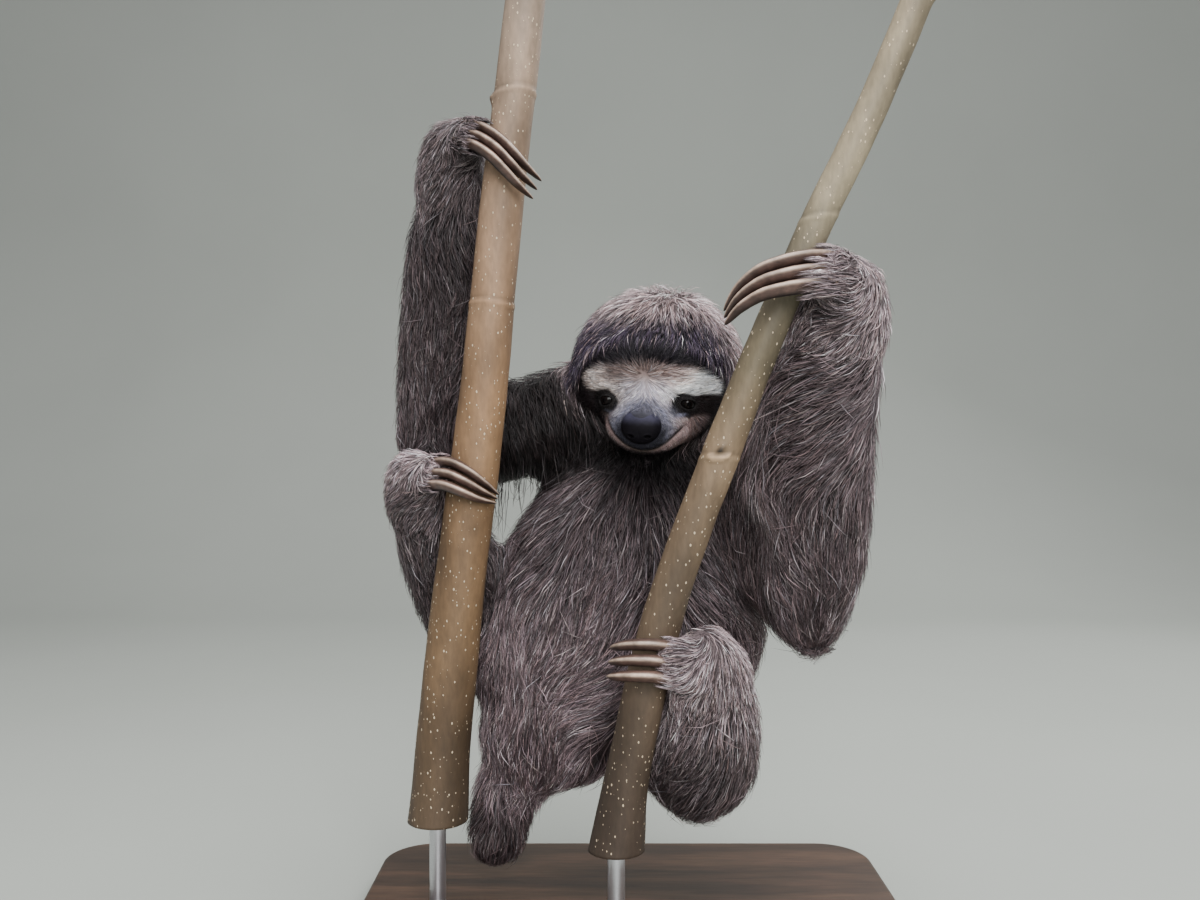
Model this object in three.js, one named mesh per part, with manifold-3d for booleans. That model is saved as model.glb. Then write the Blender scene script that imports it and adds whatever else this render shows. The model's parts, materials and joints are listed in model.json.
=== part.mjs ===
// A brown-throated three-toed sloth, life size, clinging with all four feet to two cut stems on a display stand.
// Millimetres, +Z up. The animal faces -Y, so its right side lies towards -X.
// The origin is on the floor, at the middle of the stand's base.
import * as THREE from "three";
import { mergeVertices } from "three/addons/utils/BufferGeometryUtils.js";
import Module from "manifold-3d";

const wasm = await Module();
wasm.setup();

// ---------------------------------------------------------------- driving dimensions
const GAP = 0.3; // clearance between pieces that touch
const FAR = 1000; // a size beyond the whole object, for the blocks that cut it

const BASE = { width: 340, depth: 284, height: 16, corner: 34, bevel: 2 };
const ROD = { radius: 5, inStem: 20, inBase: 9 };
const COLLAR = { radius: 14, height: 6, edge: 1.5 };
const STEM_BOTTOM = 77; // the height of the stems' lower cuts
const STEM_TOP = 556; // and of their upper cuts

const HEAD = {
  centre: [17, 25, 350],
  turn: [8, 3.2, -13], // degrees about X (nods down), Y (leans) and Z (looks aside)
  half: [57, 50, 55],
  jawTaper: 0.24, // how much narrower the lower jaw is than the crown
};
const MUZZLE = { forward: 32, height: -30.5, half: [26, 25, 16.5] };
const FACE = { height: -19, halfWidth: 45, halfHeight: 28, recess: 9, edge: 0.35 };
const EYE = { aside: 23.4, forward: 32.5, height: -14.7, radius: 5.2 };
const NOSE = { forward: 50.5, height: -27.6, half: [11.8, 8.5, 10] };

// Furred outlines: each station is [x, y, z, half width, half depth].
// A limb's lower length has its wrist or ankle at the last station but one.
const NECK = [
  [14, 44, 326, 42, 38],
  [12, 58, 290, 50, 43],
];
const TRUNK = [
  [10, 60, 292, 52, 42],
  [-1, 54, 260, 73, 55],
  [2, 47, 200, 91, 62],
  [-9, 50, 148, 87, 58],
  [-50, 58, 112, 52, 46],
];
const TAIL = [
  [-70, 62, 96, 27, 25],
  [-83, 59, 70, 23, 21],
  [-86, 55, 49, 23, 20],
];
const ARM_RIGHT = {
  upper: [
    [-24, 62, 328, 45, 40],
    [-76, 60, 315, 39, 35],
    [-118, 52, 306, 34, 33],
  ],
  lower: [
    [-119, 50, 306, 34, 33],
    [-117, 38, 350, 33, 32],
    [-114, 20, 408, 29, 28],
    [-111, 7, 455, 23.5, 22],
    [-108, -4, 483, 19, 17],
  ],
  digits: [
    [-106, -6, 480, 17, 17],
    [-94, -27, 482, 13, 16],
  ],
};
const ARM_LEFT = {
  upper: [
    [64, 50, 286, 37, 37],
    [86, 18, 245, 34, 34],
    [103, -14, 209, 27, 27],
  ],
  lower: [
    [103, -16, 205, 26, 25],
    [105, -28, 250, 34, 31],
    [103, -46, 312, 35, 30],
    [109, -64, 362, 32, 26],
    [112, -77, 387, 24, 20],
  ],
  digits: [
    [111, -79, 386, 20, 21],
    [100, -99, 391, 15, 20],
  ],
};
const LEG_RIGHT = {
  upper: [
    [-55, 54, 146, 40, 38],
    [-84, 50, 174, 35, 33],
    [-111, 42, 200, 28, 27],
  ],
  lower: [
    [-112, 41, 201, 27, 26],
    [-112, 33, 232, 34, 30],
    [-128, 18, 264, 25, 24],
    [-131, 3, 287, 20, 18],
  ],
  digits: [
    [-129, 1, 285, 16, 17],
    [-117, -17, 288, 12, 15],
  ],
};
const LEG_LEFT = {
  upper: [
    [6, 38, 136, 42, 40],
    [26, 8, 129, 37, 36],
    [39, -19, 119, 36, 33],
  ],
  lower: [
    [39, -20, 117, 36, 33],
    [40, -36, 147, 35, 30],
    [39, -48, 172, 32, 26],
    [35, -60, 190, 24, 20],
  ],
  digits: [
    [34, -61, 187, 17, 19],
    [22, -76, 188, 13, 19],
  ],
};

// Stems: each station is [x, y, z, radius].
const STEM_RIGHT = [
  [-121, 12, 50, 21],
  [-117, 9, 84, 18.5],
  [-113, 5, 130, 17],
  [-104, -3, 212, 16],
  [-88, -16, 331, 14.5],
  [-75, -28, 446, 13],
  [-61, -40, 556, 12],
  [-58, -43, 580, 12],
];
const STEM_LEFT = [
  [-13, -38, 50, 19],
  [-9, -41, 84, 16],
  [-3, -47, 125, 13],
  [18, -60, 220, 12],
  [56, -77, 328, 11],
  [89, -90, 411, 10],
  [121, -102, 480, 9.4],
  [153, -116, 562, 9],
  [161, -120, 585, 9],
];

// Claws: the middle one of each foot, from where it leaves the fur, over the stem, to its tip.
// Its neighbours lie one step to each side, and their tips some share of a step.
const CLAWS = {
  hand_right: {
    path: [
      [-94, -30, 482.5], [-86, -43, 477.5], [-77, -50.5, 470], [-69.5, -51.5, 462], [-62.5, -47.5, 455],
      [-54.5, -38, 449],
    ],
    step: [2.3, 1.6, 5.4],
    tipShare: 1,
    half: [5, 2.95],
  },
  hand_left: {
    path: [
      [105, -92, 391.5], [97, -103, 392.5], [86, -108, 392], [74, -109, 390], [62, -107, 386.5],
      [52, -101, 379.5], [45, -93, 370],
    ],
    step: [0, 3.5, 7.8],
    tipShare: 0.5,
    half: [5.2, 3.8],
  },
  foot_right: {
    path: [[-116, -18, 288.5], [-106, -30, 288.5], [-96.5, -33.5, 284.5], [-87.5, -30, 279], [-78.5, -20, 273.5]],
    step: [1.6, 2.5, 6.6],
    tipShare: 0.35,
    half: [4.3, 3],
  },
  foot_left: {
    path: [[21, -74, 188], [10, -78, 190.5], [-2, -76.5, 190.5], [-10, -69, 188.5], [-14, -60, 186]],
    step: [1, 2.5, 8],
    tipShare: 0.9,
    half: [4.3, 3.4],
  },
};
const CLAW = { buried: 8, tip: [0.9, 0.7] };

// ---------------------------------------------------------------- materials
const finish = (color, roughness, metalness = 0) =>
  new THREE.MeshStandardMaterial({ color, roughness, metalness });
const MATERIALS = {
  coat: finish(0x5f524c, 0.9),
  face: finish(0xb0a89c, 0.85),
  claw: finish(0x8a7468, 0.45),
  nose: finish(0x15131a, 0.35),
  eye: finish(0x120c0a, 0.08),
  stem: finish(0x94805f, 0.8),
  base: finish(0x2c2b2a, 0.55),
  steel: finish(0xb8b8b6, 0.3, 1),
};

// ---------------------------------------------------------------- solids
// A closed geometry as a solid, with its shared vertices merged and faces of no area dropped.
function solidOf(geometry) {
  geometry.deleteAttribute("normal");
  geometry.deleteAttribute("uv");
  const merged = mergeVertices(geometry, 1e-4);
  const index = merged.index.array;
  const kept = [];
  for (let i = 0; i < index.length; i += 3) {
    const [a, b, c] = index.slice(i, i + 3);
    if (a !== b && b !== c && c !== a) kept.push(a, b, c);
  }
  const vertProperties = merged.attributes.position.array;
  return new wasm.Manifold(new wasm.Mesh({ numProp: 3, vertProperties, triVerts: new Uint32Array(kept) }));
}

// A solid as a geometry with flat faces.
function geometryOf(solid) {
  const mesh = solid.getMesh();
  const geometry = new THREE.BufferGeometry();
  geometry.setAttribute("position", new THREE.BufferAttribute(mesh.vertProperties, 3));
  geometry.setIndex(new THREE.BufferAttribute(mesh.triVerts, 1));
  geometry.computeVertexNormals();
  return geometry;
}

// The largest body of a solid: a cut may leave crumbs.
function largest(solid) {
  return solid.decompose().sort((a, b) => b.volume() - a.volume())[0];
}

// A round-ended sweep along a smooth curve through stations of [x, y, z, half width, half depth].
// Its width lies across `facing`. `grow` swells it on every side, and `ends` is its caps' length over their radius.
// The sections lie square to the curve, or to `axis` if one is given.
function sweep(stations, { sides = 11, steps = 5, caps = 2, facing = [0, -1, 0], axis, grow = 0, ends = 1 } = {}) {
  const line = new THREE.CatmullRomCurve3(stations.map(([x, y, z]) => new THREE.Vector3(x, y, z)));
  const sizes = new THREE.CatmullRomCurve3(
    stations.map(([, , , width, depth = width]) => new THREE.Vector3(width + grow, depth + grow, 0)),
  );
  const towards = new THREE.Vector3(...facing);
  const geometry = new THREE.CapsuleGeometry(1, 1, caps, sides, steps);
  const position = geometry.attributes.position;
  const point = new THREE.Vector3();
  for (let i = 0; i < position.count; i++) {
    point.fromBufferAttribute(position, i);
    const t = THREE.MathUtils.clamp(point.y + 0.5, 0, 1);
    const beyond = point.y + 0.5 - t; // from -1 to 1, in the caps only
    const size = sizes.getPoint(t);
    const along = axis ? new THREE.Vector3(...axis) : line.getTangent(t);
    const across = along.clone().cross(towards).normalize();
    const out = across.clone().cross(along);
    const place = line
      .getPoint(t)
      .addScaledVector(across, point.x * size.x)
      .addScaledVector(out, point.z * size.y)
      .addScaledVector(along, beyond * Math.min(size.x, size.y) * ends);
    position.setXYZ(i, place.x, place.y, place.z);
  }
  return solidOf(geometry);
}

// Everything on one side of a plane, as a block that starts `back` behind the point.
function sideOf(point, normal, back = -GAP / 2) {
  const geometry = new THREE.BoxGeometry(FAR, FAR, FAR).translate(0, 0, FAR / 2 - back);
  const turn = new THREE.Quaternion().setFromUnitVectors(
    new THREE.Vector3(0, 0, 1),
    normal.clone().normalize(),
  );
  geometry.applyQuaternion(turn).translate(...point);
  return solidOf(geometry);
}

const smooth = (t) => THREE.MathUtils.smoothstep(t, 0, 1);

// ---------------------------------------------------------------- head
const headFrame = new THREE.Matrix4()
  .makeRotationFromEuler(new THREE.Euler(...HEAD.turn.map(THREE.MathUtils.degToRad), "ZXY"))
  .setPosition(...HEAD.centre);

// A ball stretched to its half sizes, turned with the head.
function headBall(place, half, grow, sides, rings) {
  const geometry = new THREE.SphereGeometry(1, sides, rings).scale(...half.map((h) => h + grow));
  return solidOf(geometry.translate(place.aside ?? 0, -place.forward, place.height).applyMatrix4(headFrame));
}

// A round crown of long fur over a flatter, recessed face, with a short muzzle. `grow` swells it.
function headSolid(grow = 0) {
  const geometry = new THREE.SphereGeometry(1, 20, 14).rotateX(Math.PI / 2);
  const position = geometry.attributes.position;
  const [halfWidth, halfDepth, halfHeight] = HEAD.half;
  const point = new THREE.Vector3();
  for (let i = 0; i < position.count; i++) {
    point.fromBufferAttribute(position, i);
    const forward = smooth(-point.y * 1.6);
    const jaw = 1 - HEAD.jawTaper * smooth(-point.z) * smooth(0.5 - point.y);
    const x = point.x * (halfWidth + grow) * jaw;
    const z = point.z * (halfHeight + grow);
    const fromFace = Math.hypot(x / FACE.halfWidth, (z - FACE.height) / FACE.halfHeight);
    const inFace = smooth((1 + FACE.edge - fromFace) / (2 * FACE.edge));
    position.setXYZ(i, x, point.y * (halfDepth + grow) + forward * FACE.recess * inFace, z);
  }
  const crown = solidOf(geometry.applyMatrix4(headFrame));
  return crown.add(headBall(MUZZLE, MUZZLE.half, grow, 14, 9));
}

const eyeSolid = (side, grow = 0) =>
  headBall({ ...EYE, aside: side * EYE.aside }, [EYE.radius, EYE.radius, EYE.radius], grow, 8, 6);
const noseSolid = (grow = 0) => headBall(NOSE, NOSE.half, grow, 12, 8);

// ---------------------------------------------------------------- limbs
const at = ([x, y, z]) => new THREE.Vector3(x, y, z);

// A whole limb: its upper length, its lower length with the foot, and the root of its digits, joined.
function limbSolid(limb, grow = 0) {
  const upper = sweep(limb.upper, { grow, facing: [0, 0, 1], steps: 4 });
  const lower = sweep(limb.lower, { grow, steps: 6 });
  const digits = sweep(limb.digits, { grow, facing: [0, 0.6, 0.8], sides: 8, steps: 1 });
  return upper.add(lower).add(digits);
}

// A limb parted at its elbow or knee, on the plane that halves the bend, and square across its wrist or ankle.
function partLimb(whole, limb) {
  const bend = at(limb.lower[0]);
  const up = at(limb.upper[0]).sub(bend).normalize();
  const down = at(limb.lower.at(-1)).sub(bend).normalize();
  const across = down.clone().sub(up);
  const wrist = at(limb.lower.at(-2));
  const along = at(limb.lower.at(-1)).sub(wrist);
  const nearSide = sideOf(bend, across.clone().negate());
  const farSide = sideOf(bend, across);
  const past = sideOf(wrist, along);
  const short = sideOf(wrist, along.clone().negate());
  return [
    whole.intersect(nearSide),
    whole.intersect(farSide).intersect(short),
    whole.intersect(farSide).intersect(past),
  ].map(largest);
}

// ---------------------------------------------------------------- claws
// A claw is a tapering arc, deeper than it is wide, whose root lies buried in the foot.
// `place` is 1, 0 or -1 for the claws of one foot.
function clawSolid(name, place, grow = 0) {
  const { path, step, tipShare, half } = CLAWS[name];
  const [depth, width] = half;
  const last = path.length - 1;
  const points = path.map((p, i) => {
    const share = 1 - (1 - tipShare) * (i / last) ** 3;
    return at(p).addScaledVector(at(step), place * share);
  });
  const root = points[0].clone().sub(points[1]).setLength(CLAW.buried).add(points[0]);
  const stations = points.map((p, i) => {
    const taper = Math.sqrt(1 - (i / last) ** 2.2);
    return [...p, Math.max(depth * taper, CLAW.tip[0]), Math.max(width * taper, CLAW.tip[1])];
  });
  return sweep([[...root, depth, width], ...stations], { sides: 6, steps: 6, caps: 1, facing: step, grow });
}

const clawsOf = (name, grow = 0) => [1, 0, -1].map((place) => clawSolid(name, place, grow));

// ---------------------------------------------------------------- stems and stand
function stemSolid(stations, grow = 0) {
  const whole = sweep(stations, { sides: 12, steps: 7, caps: 1, grow });
  const above = sideOf([0, 0, STEM_BOTTOM], new THREE.Vector3(0, 0, 1), grow);
  const below = sideOf([0, 0, STEM_TOP], new THREE.Vector3(0, 0, -1), grow);
  return whole.intersect(above).intersect(below);
}

// Where a stem's own middle crosses its lower cut.
function footOfStem(stations) {
  const line = new THREE.CatmullRomCurve3(stations.map(at));
  let low = 0;
  let high = 1;
  while (high - low > 1e-5) {
    const middle = (low + high) / 2;
    if (line.getPoint(middle).z < STEM_BOTTOM) low = middle;
    else high = middle;
  }
  return line.getPoint(low);
}

function rodSolid(stations, grow = 0) {
  const foot = footOfStem(stations);
  const bottom = BASE.height - ROD.inBase;
  const length = STEM_BOTTOM + ROD.inStem - bottom;
  const geometry = new THREE.CylinderGeometry(ROD.radius + grow, ROD.radius + grow, length + 2 * grow, 14);
  return solidOf(geometry.rotateX(Math.PI / 2).translate(foot.x, foot.y, bottom + length / 2));
}

function collarSolid(stations) {
  const foot = footOfStem(stations);
  const { radius, height, edge } = COLLAR;
  const hole = ROD.radius + GAP;
  const profile = [
    [hole, 0],
    [radius, 0],
    [radius, height - edge],
    [radius - edge, height],
    [hole, height],
    [hole, 0],
  ].map(([r, h]) => new THREE.Vector2(r, h));
  const geometry = new THREE.LatheGeometry(profile, 14).rotateX(Math.PI / 2);
  return solidOf(geometry.translate(foot.x, foot.y, BASE.height + GAP));
}

function baseSolid() {
  const { width, depth, height, corner, bevel } = BASE;
  const [w, d] = [width / 2 - bevel, depth / 2 - bevel];
  const r = corner - bevel;
  const outline = new THREE.Shape()
    .moveTo(-w + r, -d)
    .lineTo(w - r, -d)
    .absarc(w - r, -d + r, r, -Math.PI / 2, 0)
    .lineTo(w, d - r)
    .absarc(w - r, d - r, r, 0, Math.PI / 2)
    .lineTo(-w + r, d)
    .absarc(-w + r, d - r, r, Math.PI / 2, Math.PI)
    .lineTo(-w, -d + r)
    .absarc(-w + r, -d + r, r, Math.PI, 1.5 * Math.PI);
  const geometry = new THREE.ExtrudeGeometry(outline, {
    depth: height - 2 * bevel,
    bevelThickness: bevel,
    bevelSize: bevel,
    bevelSegments: 1,
    curveSegments: 4,
  });
  return solidOf(geometry.translate(0, 0, bevel));
}

// ---------------------------------------------------------------- assembly
const sloth = new THREE.Group();

function add(name, solid, material) {
  const mesh = new THREE.Mesh(geometryOf(solid), material);
  mesh.name = name;
  sloth.add(mesh);
}

const without = (solid, ...others) => others.reduce((left, other) => left.subtract(other), solid);
const trunkSolid = (grow = 0) => sweep(TRUNK, { sides: 20, steps: 7, axis: [0, 0, -1], grow, ends: 0.75 });
const neckSolid = (grow = 0) => sweep(NECK, { steps: 2, grow });
const tailSolid = (grow = 0) => sweep(TAIL, { grow });

const stems = { stem_right: STEM_RIGHT, stem_left: STEM_LEFT };
const stemRoom = Object.values(stems).map((stations) => stemSolid(stations, GAP));
const clawRoom = Object.fromEntries(Object.keys(CLAWS).map((name) => [name, clawsOf(name, GAP)]));

add("head", without(headSolid(), noseSolid(GAP), eyeSolid(-1, GAP), eyeSolid(1, GAP)), MATERIALS.face);
add("eye_right", eyeSolid(-1), MATERIALS.eye);
add("eye_left", eyeSolid(1), MATERIALS.eye);
add("nose", noseSolid(), MATERIALS.nose);

add("trunk", largest(without(trunkSolid(), headSolid(GAP), ...stemRoom)), MATERIALS.coat);
add("neck", largest(without(neckSolid(), headSolid(GAP), trunkSolid(GAP))), MATERIALS.coat);
add("tail", largest(without(tailSolid(), trunkSolid(GAP))), MATERIALS.coat);

const legs = { right: LEG_RIGHT, left: LEG_LEFT };
const arms = { right: ARM_RIGHT, left: ARM_LEFT };
for (const [side, leg] of Object.entries(legs)) {
  const room = [trunkSolid(GAP), tailSolid(GAP), ...stemRoom, ...clawRoom[`foot_${side}`]];
  const names = [`thigh_${side}`, `lower_leg_${side}`, `foot_${side}`];
  partLimb(without(limbSolid(leg), ...room), leg).forEach((solid, i) => add(names[i], solid, MATERIALS.coat));
}
for (const [side, arm] of Object.entries(arms)) {
  const legRoom = Object.values(legs).map((leg) => limbSolid(leg, GAP));
  const bodyRoom = [trunkSolid(GAP), headSolid(GAP), neckSolid(GAP)];
  const room = [...bodyRoom, ...legRoom, ...stemRoom, ...clawRoom[`hand_${side}`]];
  const names = [`upper_arm_${side}`, `forearm_${side}`, `hand_${side}`];
  partLimb(without(limbSolid(arm), ...room), arm).forEach((solid, i) => add(names[i], solid, MATERIALS.coat));
}
for (const foot of Object.keys(CLAWS)) {
  clawsOf(foot).forEach((solid, i) => {
    const before = clawRoom[foot].slice(0, i);
    add(`claw_${foot}_${i + 1}`, largest(without(solid, ...stemRoom, ...before)), MATERIALS.claw);
  });
}

const rodRoom = Object.values(stems).map((stations) => rodSolid(stations, GAP));
for (const [name, stations] of Object.entries(stems)) {
  const side = name.slice("stem_".length);
  add(name, without(stemSolid(stations), ...rodRoom), MATERIALS.stem);
  add(`stand_rod_${side}`, rodSolid(stations), MATERIALS.steel);
  add(`stand_collar_${side}`, collarSolid(stations), MATERIALS.steel);
}
add("stand_base", without(baseSolid(), ...rodRoom), MATERIALS.base);

export default sloth;
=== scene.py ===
import json
import math

import bmesh
import bpy
import numpy as np
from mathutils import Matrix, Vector, noise
from mathutils.bvhtree import BVHTree
from mathutils.kdtree import KDTree


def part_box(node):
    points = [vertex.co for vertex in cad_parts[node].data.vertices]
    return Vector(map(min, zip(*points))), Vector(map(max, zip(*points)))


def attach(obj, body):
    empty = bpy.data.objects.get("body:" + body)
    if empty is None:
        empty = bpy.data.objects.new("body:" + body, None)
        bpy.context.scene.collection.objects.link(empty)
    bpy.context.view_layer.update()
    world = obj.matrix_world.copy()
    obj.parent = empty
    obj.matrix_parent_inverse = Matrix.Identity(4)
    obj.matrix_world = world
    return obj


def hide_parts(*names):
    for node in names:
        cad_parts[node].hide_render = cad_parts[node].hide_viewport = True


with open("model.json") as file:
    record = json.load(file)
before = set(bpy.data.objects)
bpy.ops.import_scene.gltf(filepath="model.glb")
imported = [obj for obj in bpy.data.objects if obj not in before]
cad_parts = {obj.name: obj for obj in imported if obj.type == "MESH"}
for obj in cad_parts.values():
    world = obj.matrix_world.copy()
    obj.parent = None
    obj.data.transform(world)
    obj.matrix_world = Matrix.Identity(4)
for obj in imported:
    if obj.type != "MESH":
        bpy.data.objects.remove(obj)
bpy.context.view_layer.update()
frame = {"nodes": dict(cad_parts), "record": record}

# A brown-throated three-toed sloth, life size, clinging to two cut stems on a display stand.
# The animal faces -Y. Lengths are in metres, or in millimetres where MM turns them to metres.

MM = 0.001
RNG = np.random.default_rng(4)

# ---------------------------------------------------------------- camera
EYE_LEVEL = Vector((-0.019, -0.660, 0.302))
SENSOR_WIDTH = 36.0
PICTURE_WIDTH = 1200
FOCAL_PIXELS = 1100
NEAREST_SEEN = 0.01


def make_camera():
    data = bpy.data.cameras.new("camera")
    data.sensor_fit = "HORIZONTAL"
    data.sensor_width = SENSOR_WIDTH
    data.lens = SENSOR_WIDTH * FOCAL_PIXELS / PICTURE_WIDTH
    data.clip_start = NEAREST_SEEN
    camera = bpy.data.objects.new("camera", data)
    camera.location = EYE_LEVEL
    camera.rotation_euler = (math.radians(90), 0, 0)
    bpy.context.scene.collection.objects.link(camera)
    bpy.context.scene.camera = camera


# ---------------------------------------------------------------- numbers
def smooth(low, high, x):
    """A soft step from 0 at the first value to 1 at the second, whichever of them is higher."""
    t = np.clip((x - low) / (high - low), 0, 1)
    return t * t * (3 - 2 * t)


def mixed(a, b, share):
    return a + (b - a) * np.asarray(share)[..., None]


def hump(x, place, spread):
    """A soft rise about one place: 1 there, and almost nothing at twice its spread."""
    return np.exp(-(((x - place) / spread) ** 2))


def unit(vectors):
    return vectors / np.maximum(np.linalg.norm(vectors, axis=-1, keepdims=True), 1e-9)


def dot(a, b):
    return (a * b).sum(-1, keepdims=True)


def flat_on(vectors, normals):
    """The share of each vector that lies along the surface with that normal."""
    return vectors - normals * dot(vectors, normals)


def turned(vectors, normals, angles):
    """Vectors that lie on a surface, each turned about its normal."""
    cos, sin = np.cos(angles)[:, None], np.sin(angles)[:, None]
    return vectors * cos + np.cross(normals, vectors) * sin


def paint(red, green, blue):
    """A colour named by its screen values, 0 to 255, as linear light."""
    c = np.array([red, green, blue]) / 255
    return np.where(c <= 0.04045, c / 12.92, ((c + 0.055) / 1.055) ** 2.4)


# ---------------------------------------------------------------- the frame's own places
def middle(node):
    low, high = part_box(node)
    return (low + high) / 2


# The head's own directions follow from the eyes and the nose, whose places in it are known in millimetres.
EYE_ASIDE, EYE_FORWARD, EYE_UP = 23.4, 32.5, -14.7
NOSE_FORWARD, NOSE_UP = 50.5, -27.6


def head_frame():
    """The head's middle, and its directions aside, forward and up."""
    eyes = (middle("eye_right") + middle("eye_left")) / 2
    aside = (middle("eye_left") - middle("eye_right")).normalized()
    along = middle("nose") - eyes
    across = along.cross(aside)
    run, rise = NOSE_FORWARD - EYE_FORWARD, NOSE_UP - EYE_UP
    forward = (along * run - across * rise).normalized()
    up = (along * rise + across * run).normalized()
    origin = eyes - (forward * EYE_FORWARD + up * EYE_UP) * MM
    return np.array(origin), np.array([aside, forward, up])


HEAD_MIDDLE, HEAD_AXES = head_frame()


def in_head(points):
    """Points in the head's own directions, in millimetres from its middle."""
    return (points - HEAD_MIDDLE) @ HEAD_AXES.T / MM


def from_head(points):
    return HEAD_MIDDLE + np.asarray(points) * MM @ HEAD_AXES


# ---------------------------------------------------------------- meshes
def new_object(name, mesh):
    piece = bpy.data.objects.new(name, mesh)
    bpy.context.scene.collection.objects.link(piece)
    return piece


def finished(piece, slot, *nodes):
    """A piece of the visual model: it stands for some CAD nodes, which it hides. The slot is not used."""
    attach(piece, "root")
    if nodes:
        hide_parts(*nodes)
    return piece


def baked(piece, modifiers):
    """Applies a list of modifiers to a piece's mesh."""
    for kind, settings in modifiers:
        modifier = piece.modifiers.new(kind.lower(), kind)
        for key, value in settings.items():
            setattr(modifier, key, value)
    shaped = piece.evaluated_get(bpy.context.evaluated_depsgraph_get())
    mesh = bpy.data.meshes.new_from_object(shaped)
    piece.modifiers.clear()
    old = piece.data
    piece.data = mesh
    bpy.data.meshes.remove(old)
    return mesh


def read(collection, name, width, kind=float):
    values = np.empty(len(collection) * width, kind)
    collection.foreach_get(name, values)
    return values.reshape(-1, width) if width > 1 else values


def points_of(mesh):
    return read(mesh.vertices, "co", 3)


def normals_of(mesh):
    return read(mesh.vertex_normals, "vector", 3)


def move_points(mesh, points):
    mesh.vertices.foreach_set("co", points.ravel())
    mesh.update()


def evened(values, edges, rounds):
    """Values over a mesh, each evened with its neighbours' some number of times."""
    count = np.bincount(edges.ravel(), minlength=len(values))
    count = np.maximum(count, 1).reshape((-1,) + (1,) * (values.ndim - 1))
    columns = values.reshape(len(values), -1)
    for _ in range(rounds):
        total = [
            np.bincount(edges[:, 0], columns[edges[:, 1], i], len(values))
            + np.bincount(edges[:, 1], columns[edges[:, 0], i], len(values))
            for i in range(columns.shape[1])
        ]
        around = np.stack(total, 1).reshape(values.shape) / count
        columns = ((values + around) / 2).reshape(len(values), -1)
        values = columns.reshape(values.shape)
    return values


def mesh_from(name, points, faces, tones, patches=None):
    """A mesh from arrays, faces being all triangles or all quads, with its own colours."""
    sides = faces.shape[1]
    mesh = bpy.data.meshes.new(name)
    mesh.vertices.add(len(points))
    mesh.vertices.foreach_set("co", points.astype(np.float32).ravel())
    mesh.loops.add(faces.size)
    mesh.loops.foreach_set("vertex_index", faces.astype(np.int32).ravel())
    mesh.polygons.add(len(faces))
    mesh.polygons.foreach_set("loop_start", np.arange(0, faces.size, sides, dtype=np.int32))
    mesh.update(calc_edges=True)
    mesh.shade_smooth()
    give_tones(mesh, tones)
    if patches is not None:
        layer = mesh.uv_layers.new(name="OFBake")
        layer.data.foreach_set("uv", patches[faces.ravel()].astype(np.float32).ravel())
    return mesh


def give_tones(mesh, tones):
    """Puts a linear colour at each of a mesh's points."""
    layer = mesh.color_attributes.new("tone", "FLOAT_COLOR", "POINT")
    colours = np.ones((len(tones), 4), np.float32)
    colours[:, :3] = tones
    layer.data.foreach_set("color", colours.ravel())


# ---------------------------------------------------------------- markings
BAND, SNOUT, STRIPE = paint(20, 15, 23), paint(128, 128, 148), paint(36, 26, 27)
HAIR = {
    "back": paint(115, 97, 99),
    "belly": paint(132, 114, 118),
    "arm": paint(115, 99, 102),
    # The paws' hair is paler, partly its own colour and partly painted light from above.
    "paw": paint(152, 134, 137),
    "throat": paint(36, 28, 31),
    "crown": paint(196, 172, 173),
    "fringe": paint(52, 42, 68),
    "band": BAND,
    "temple": BAND * 1.6,
    "brow": paint(242, 228, 222),
    "bridge": paint(228, 220, 230) * 0.79,
    "forehead": paint(128, 105, 101) * 0.84,
    "lower_lid": SNOUT,
    "muzzle": SNOUT * 0.72,
    # The hair beside the nose is darkened as painted shade.
    "shade_beside_nose": SNOUT * 0.3,
    "round_nose": paint(28, 27, 38) * 0.7,
    "stripe": STRIPE,
    "eye_rim": STRIPE * 0.25,
    "mouth": STRIPE * 0.5,
    "cheek": paint(152, 128, 126),
    "lip": paint(152, 132, 124) * 0.6,
}
# How the coat's lightness changes up each part, as painted light and shade: lighter where light falls from
# above and darker where the upper arms and the chest lie in shade, with some changes of the coat's own
# colour. The part and its side, from one height in millimetres to another, and the levels there.
PAINTED_LIGHT_LEVELS = [
    ("trunk", "both", 188, 262, 1.42, 0.62),
    ("tail", "both", 50, 90, 0.65, 0.65),
    ("upper_arm", "right", 300, 340, 0.16, 0.16),
    ("upper_arm", "left", 200, 290, 0.58, 0.58),
    ("forearm", "right", 300, 460, 0.86, 0.48),
    ("forearm", "left", 200, 340, 0.92, 1.04),
    ("hand", "right", 440, 500, 0.6, 0.67),
    ("hand", "left", 370, 400, 1.15, 1.38),
    ("lower_leg", "left", 135, 180, 0.42, 1.36),
    ("foot", "left", 170, 200, 1.4, 1.6),
    ("lower_leg", "right", 200, 280, 0.3, 0.42),
    ("foot", "right", 270, 300, 0.62, 1.6),
]
NODE_HAIR = {
    "head": "crown",
    "neck": "throat",
    "trunk": "belly",
    "tail": "back",
    "thigh": "belly",
    "lower_leg": "paw",
    "foot": "paw",
    "upper_arm": "back",
    "forearm": "arm",
    "hand": "paw",
}

# Places on the head in millimetres: aside, forward and up from its middle.
STAR = np.array([-1.0, 42, 0.3])
WHORL = np.array([7.0, -5, 54])
NOSE_PLACE = np.array([0, NOSE_FORWARD, NOSE_UP])

# The line of the mouth curves up to each side of its lowest point.
MOUTH_ASIDE, MOUTH_UP, MOUTH_CURVE = 1.0, -42, 0.031

# Ovals round both eyes in millimetres: how far aside, and up from the eye's middle; half width and half
# height; how far the pair is shifted to one side; and the turn of each in degrees.
EYE_STRIPE = (32, -1.2, 15.5, 6.6, -1.5, 12)
EYE_RIM = (EYE_ASIDE, -0.3, 8.2, 6.5, -1.8, 10)
LOWER_LID = (21, -6.6, 4.6, 1.0, -1, 6)

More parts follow.
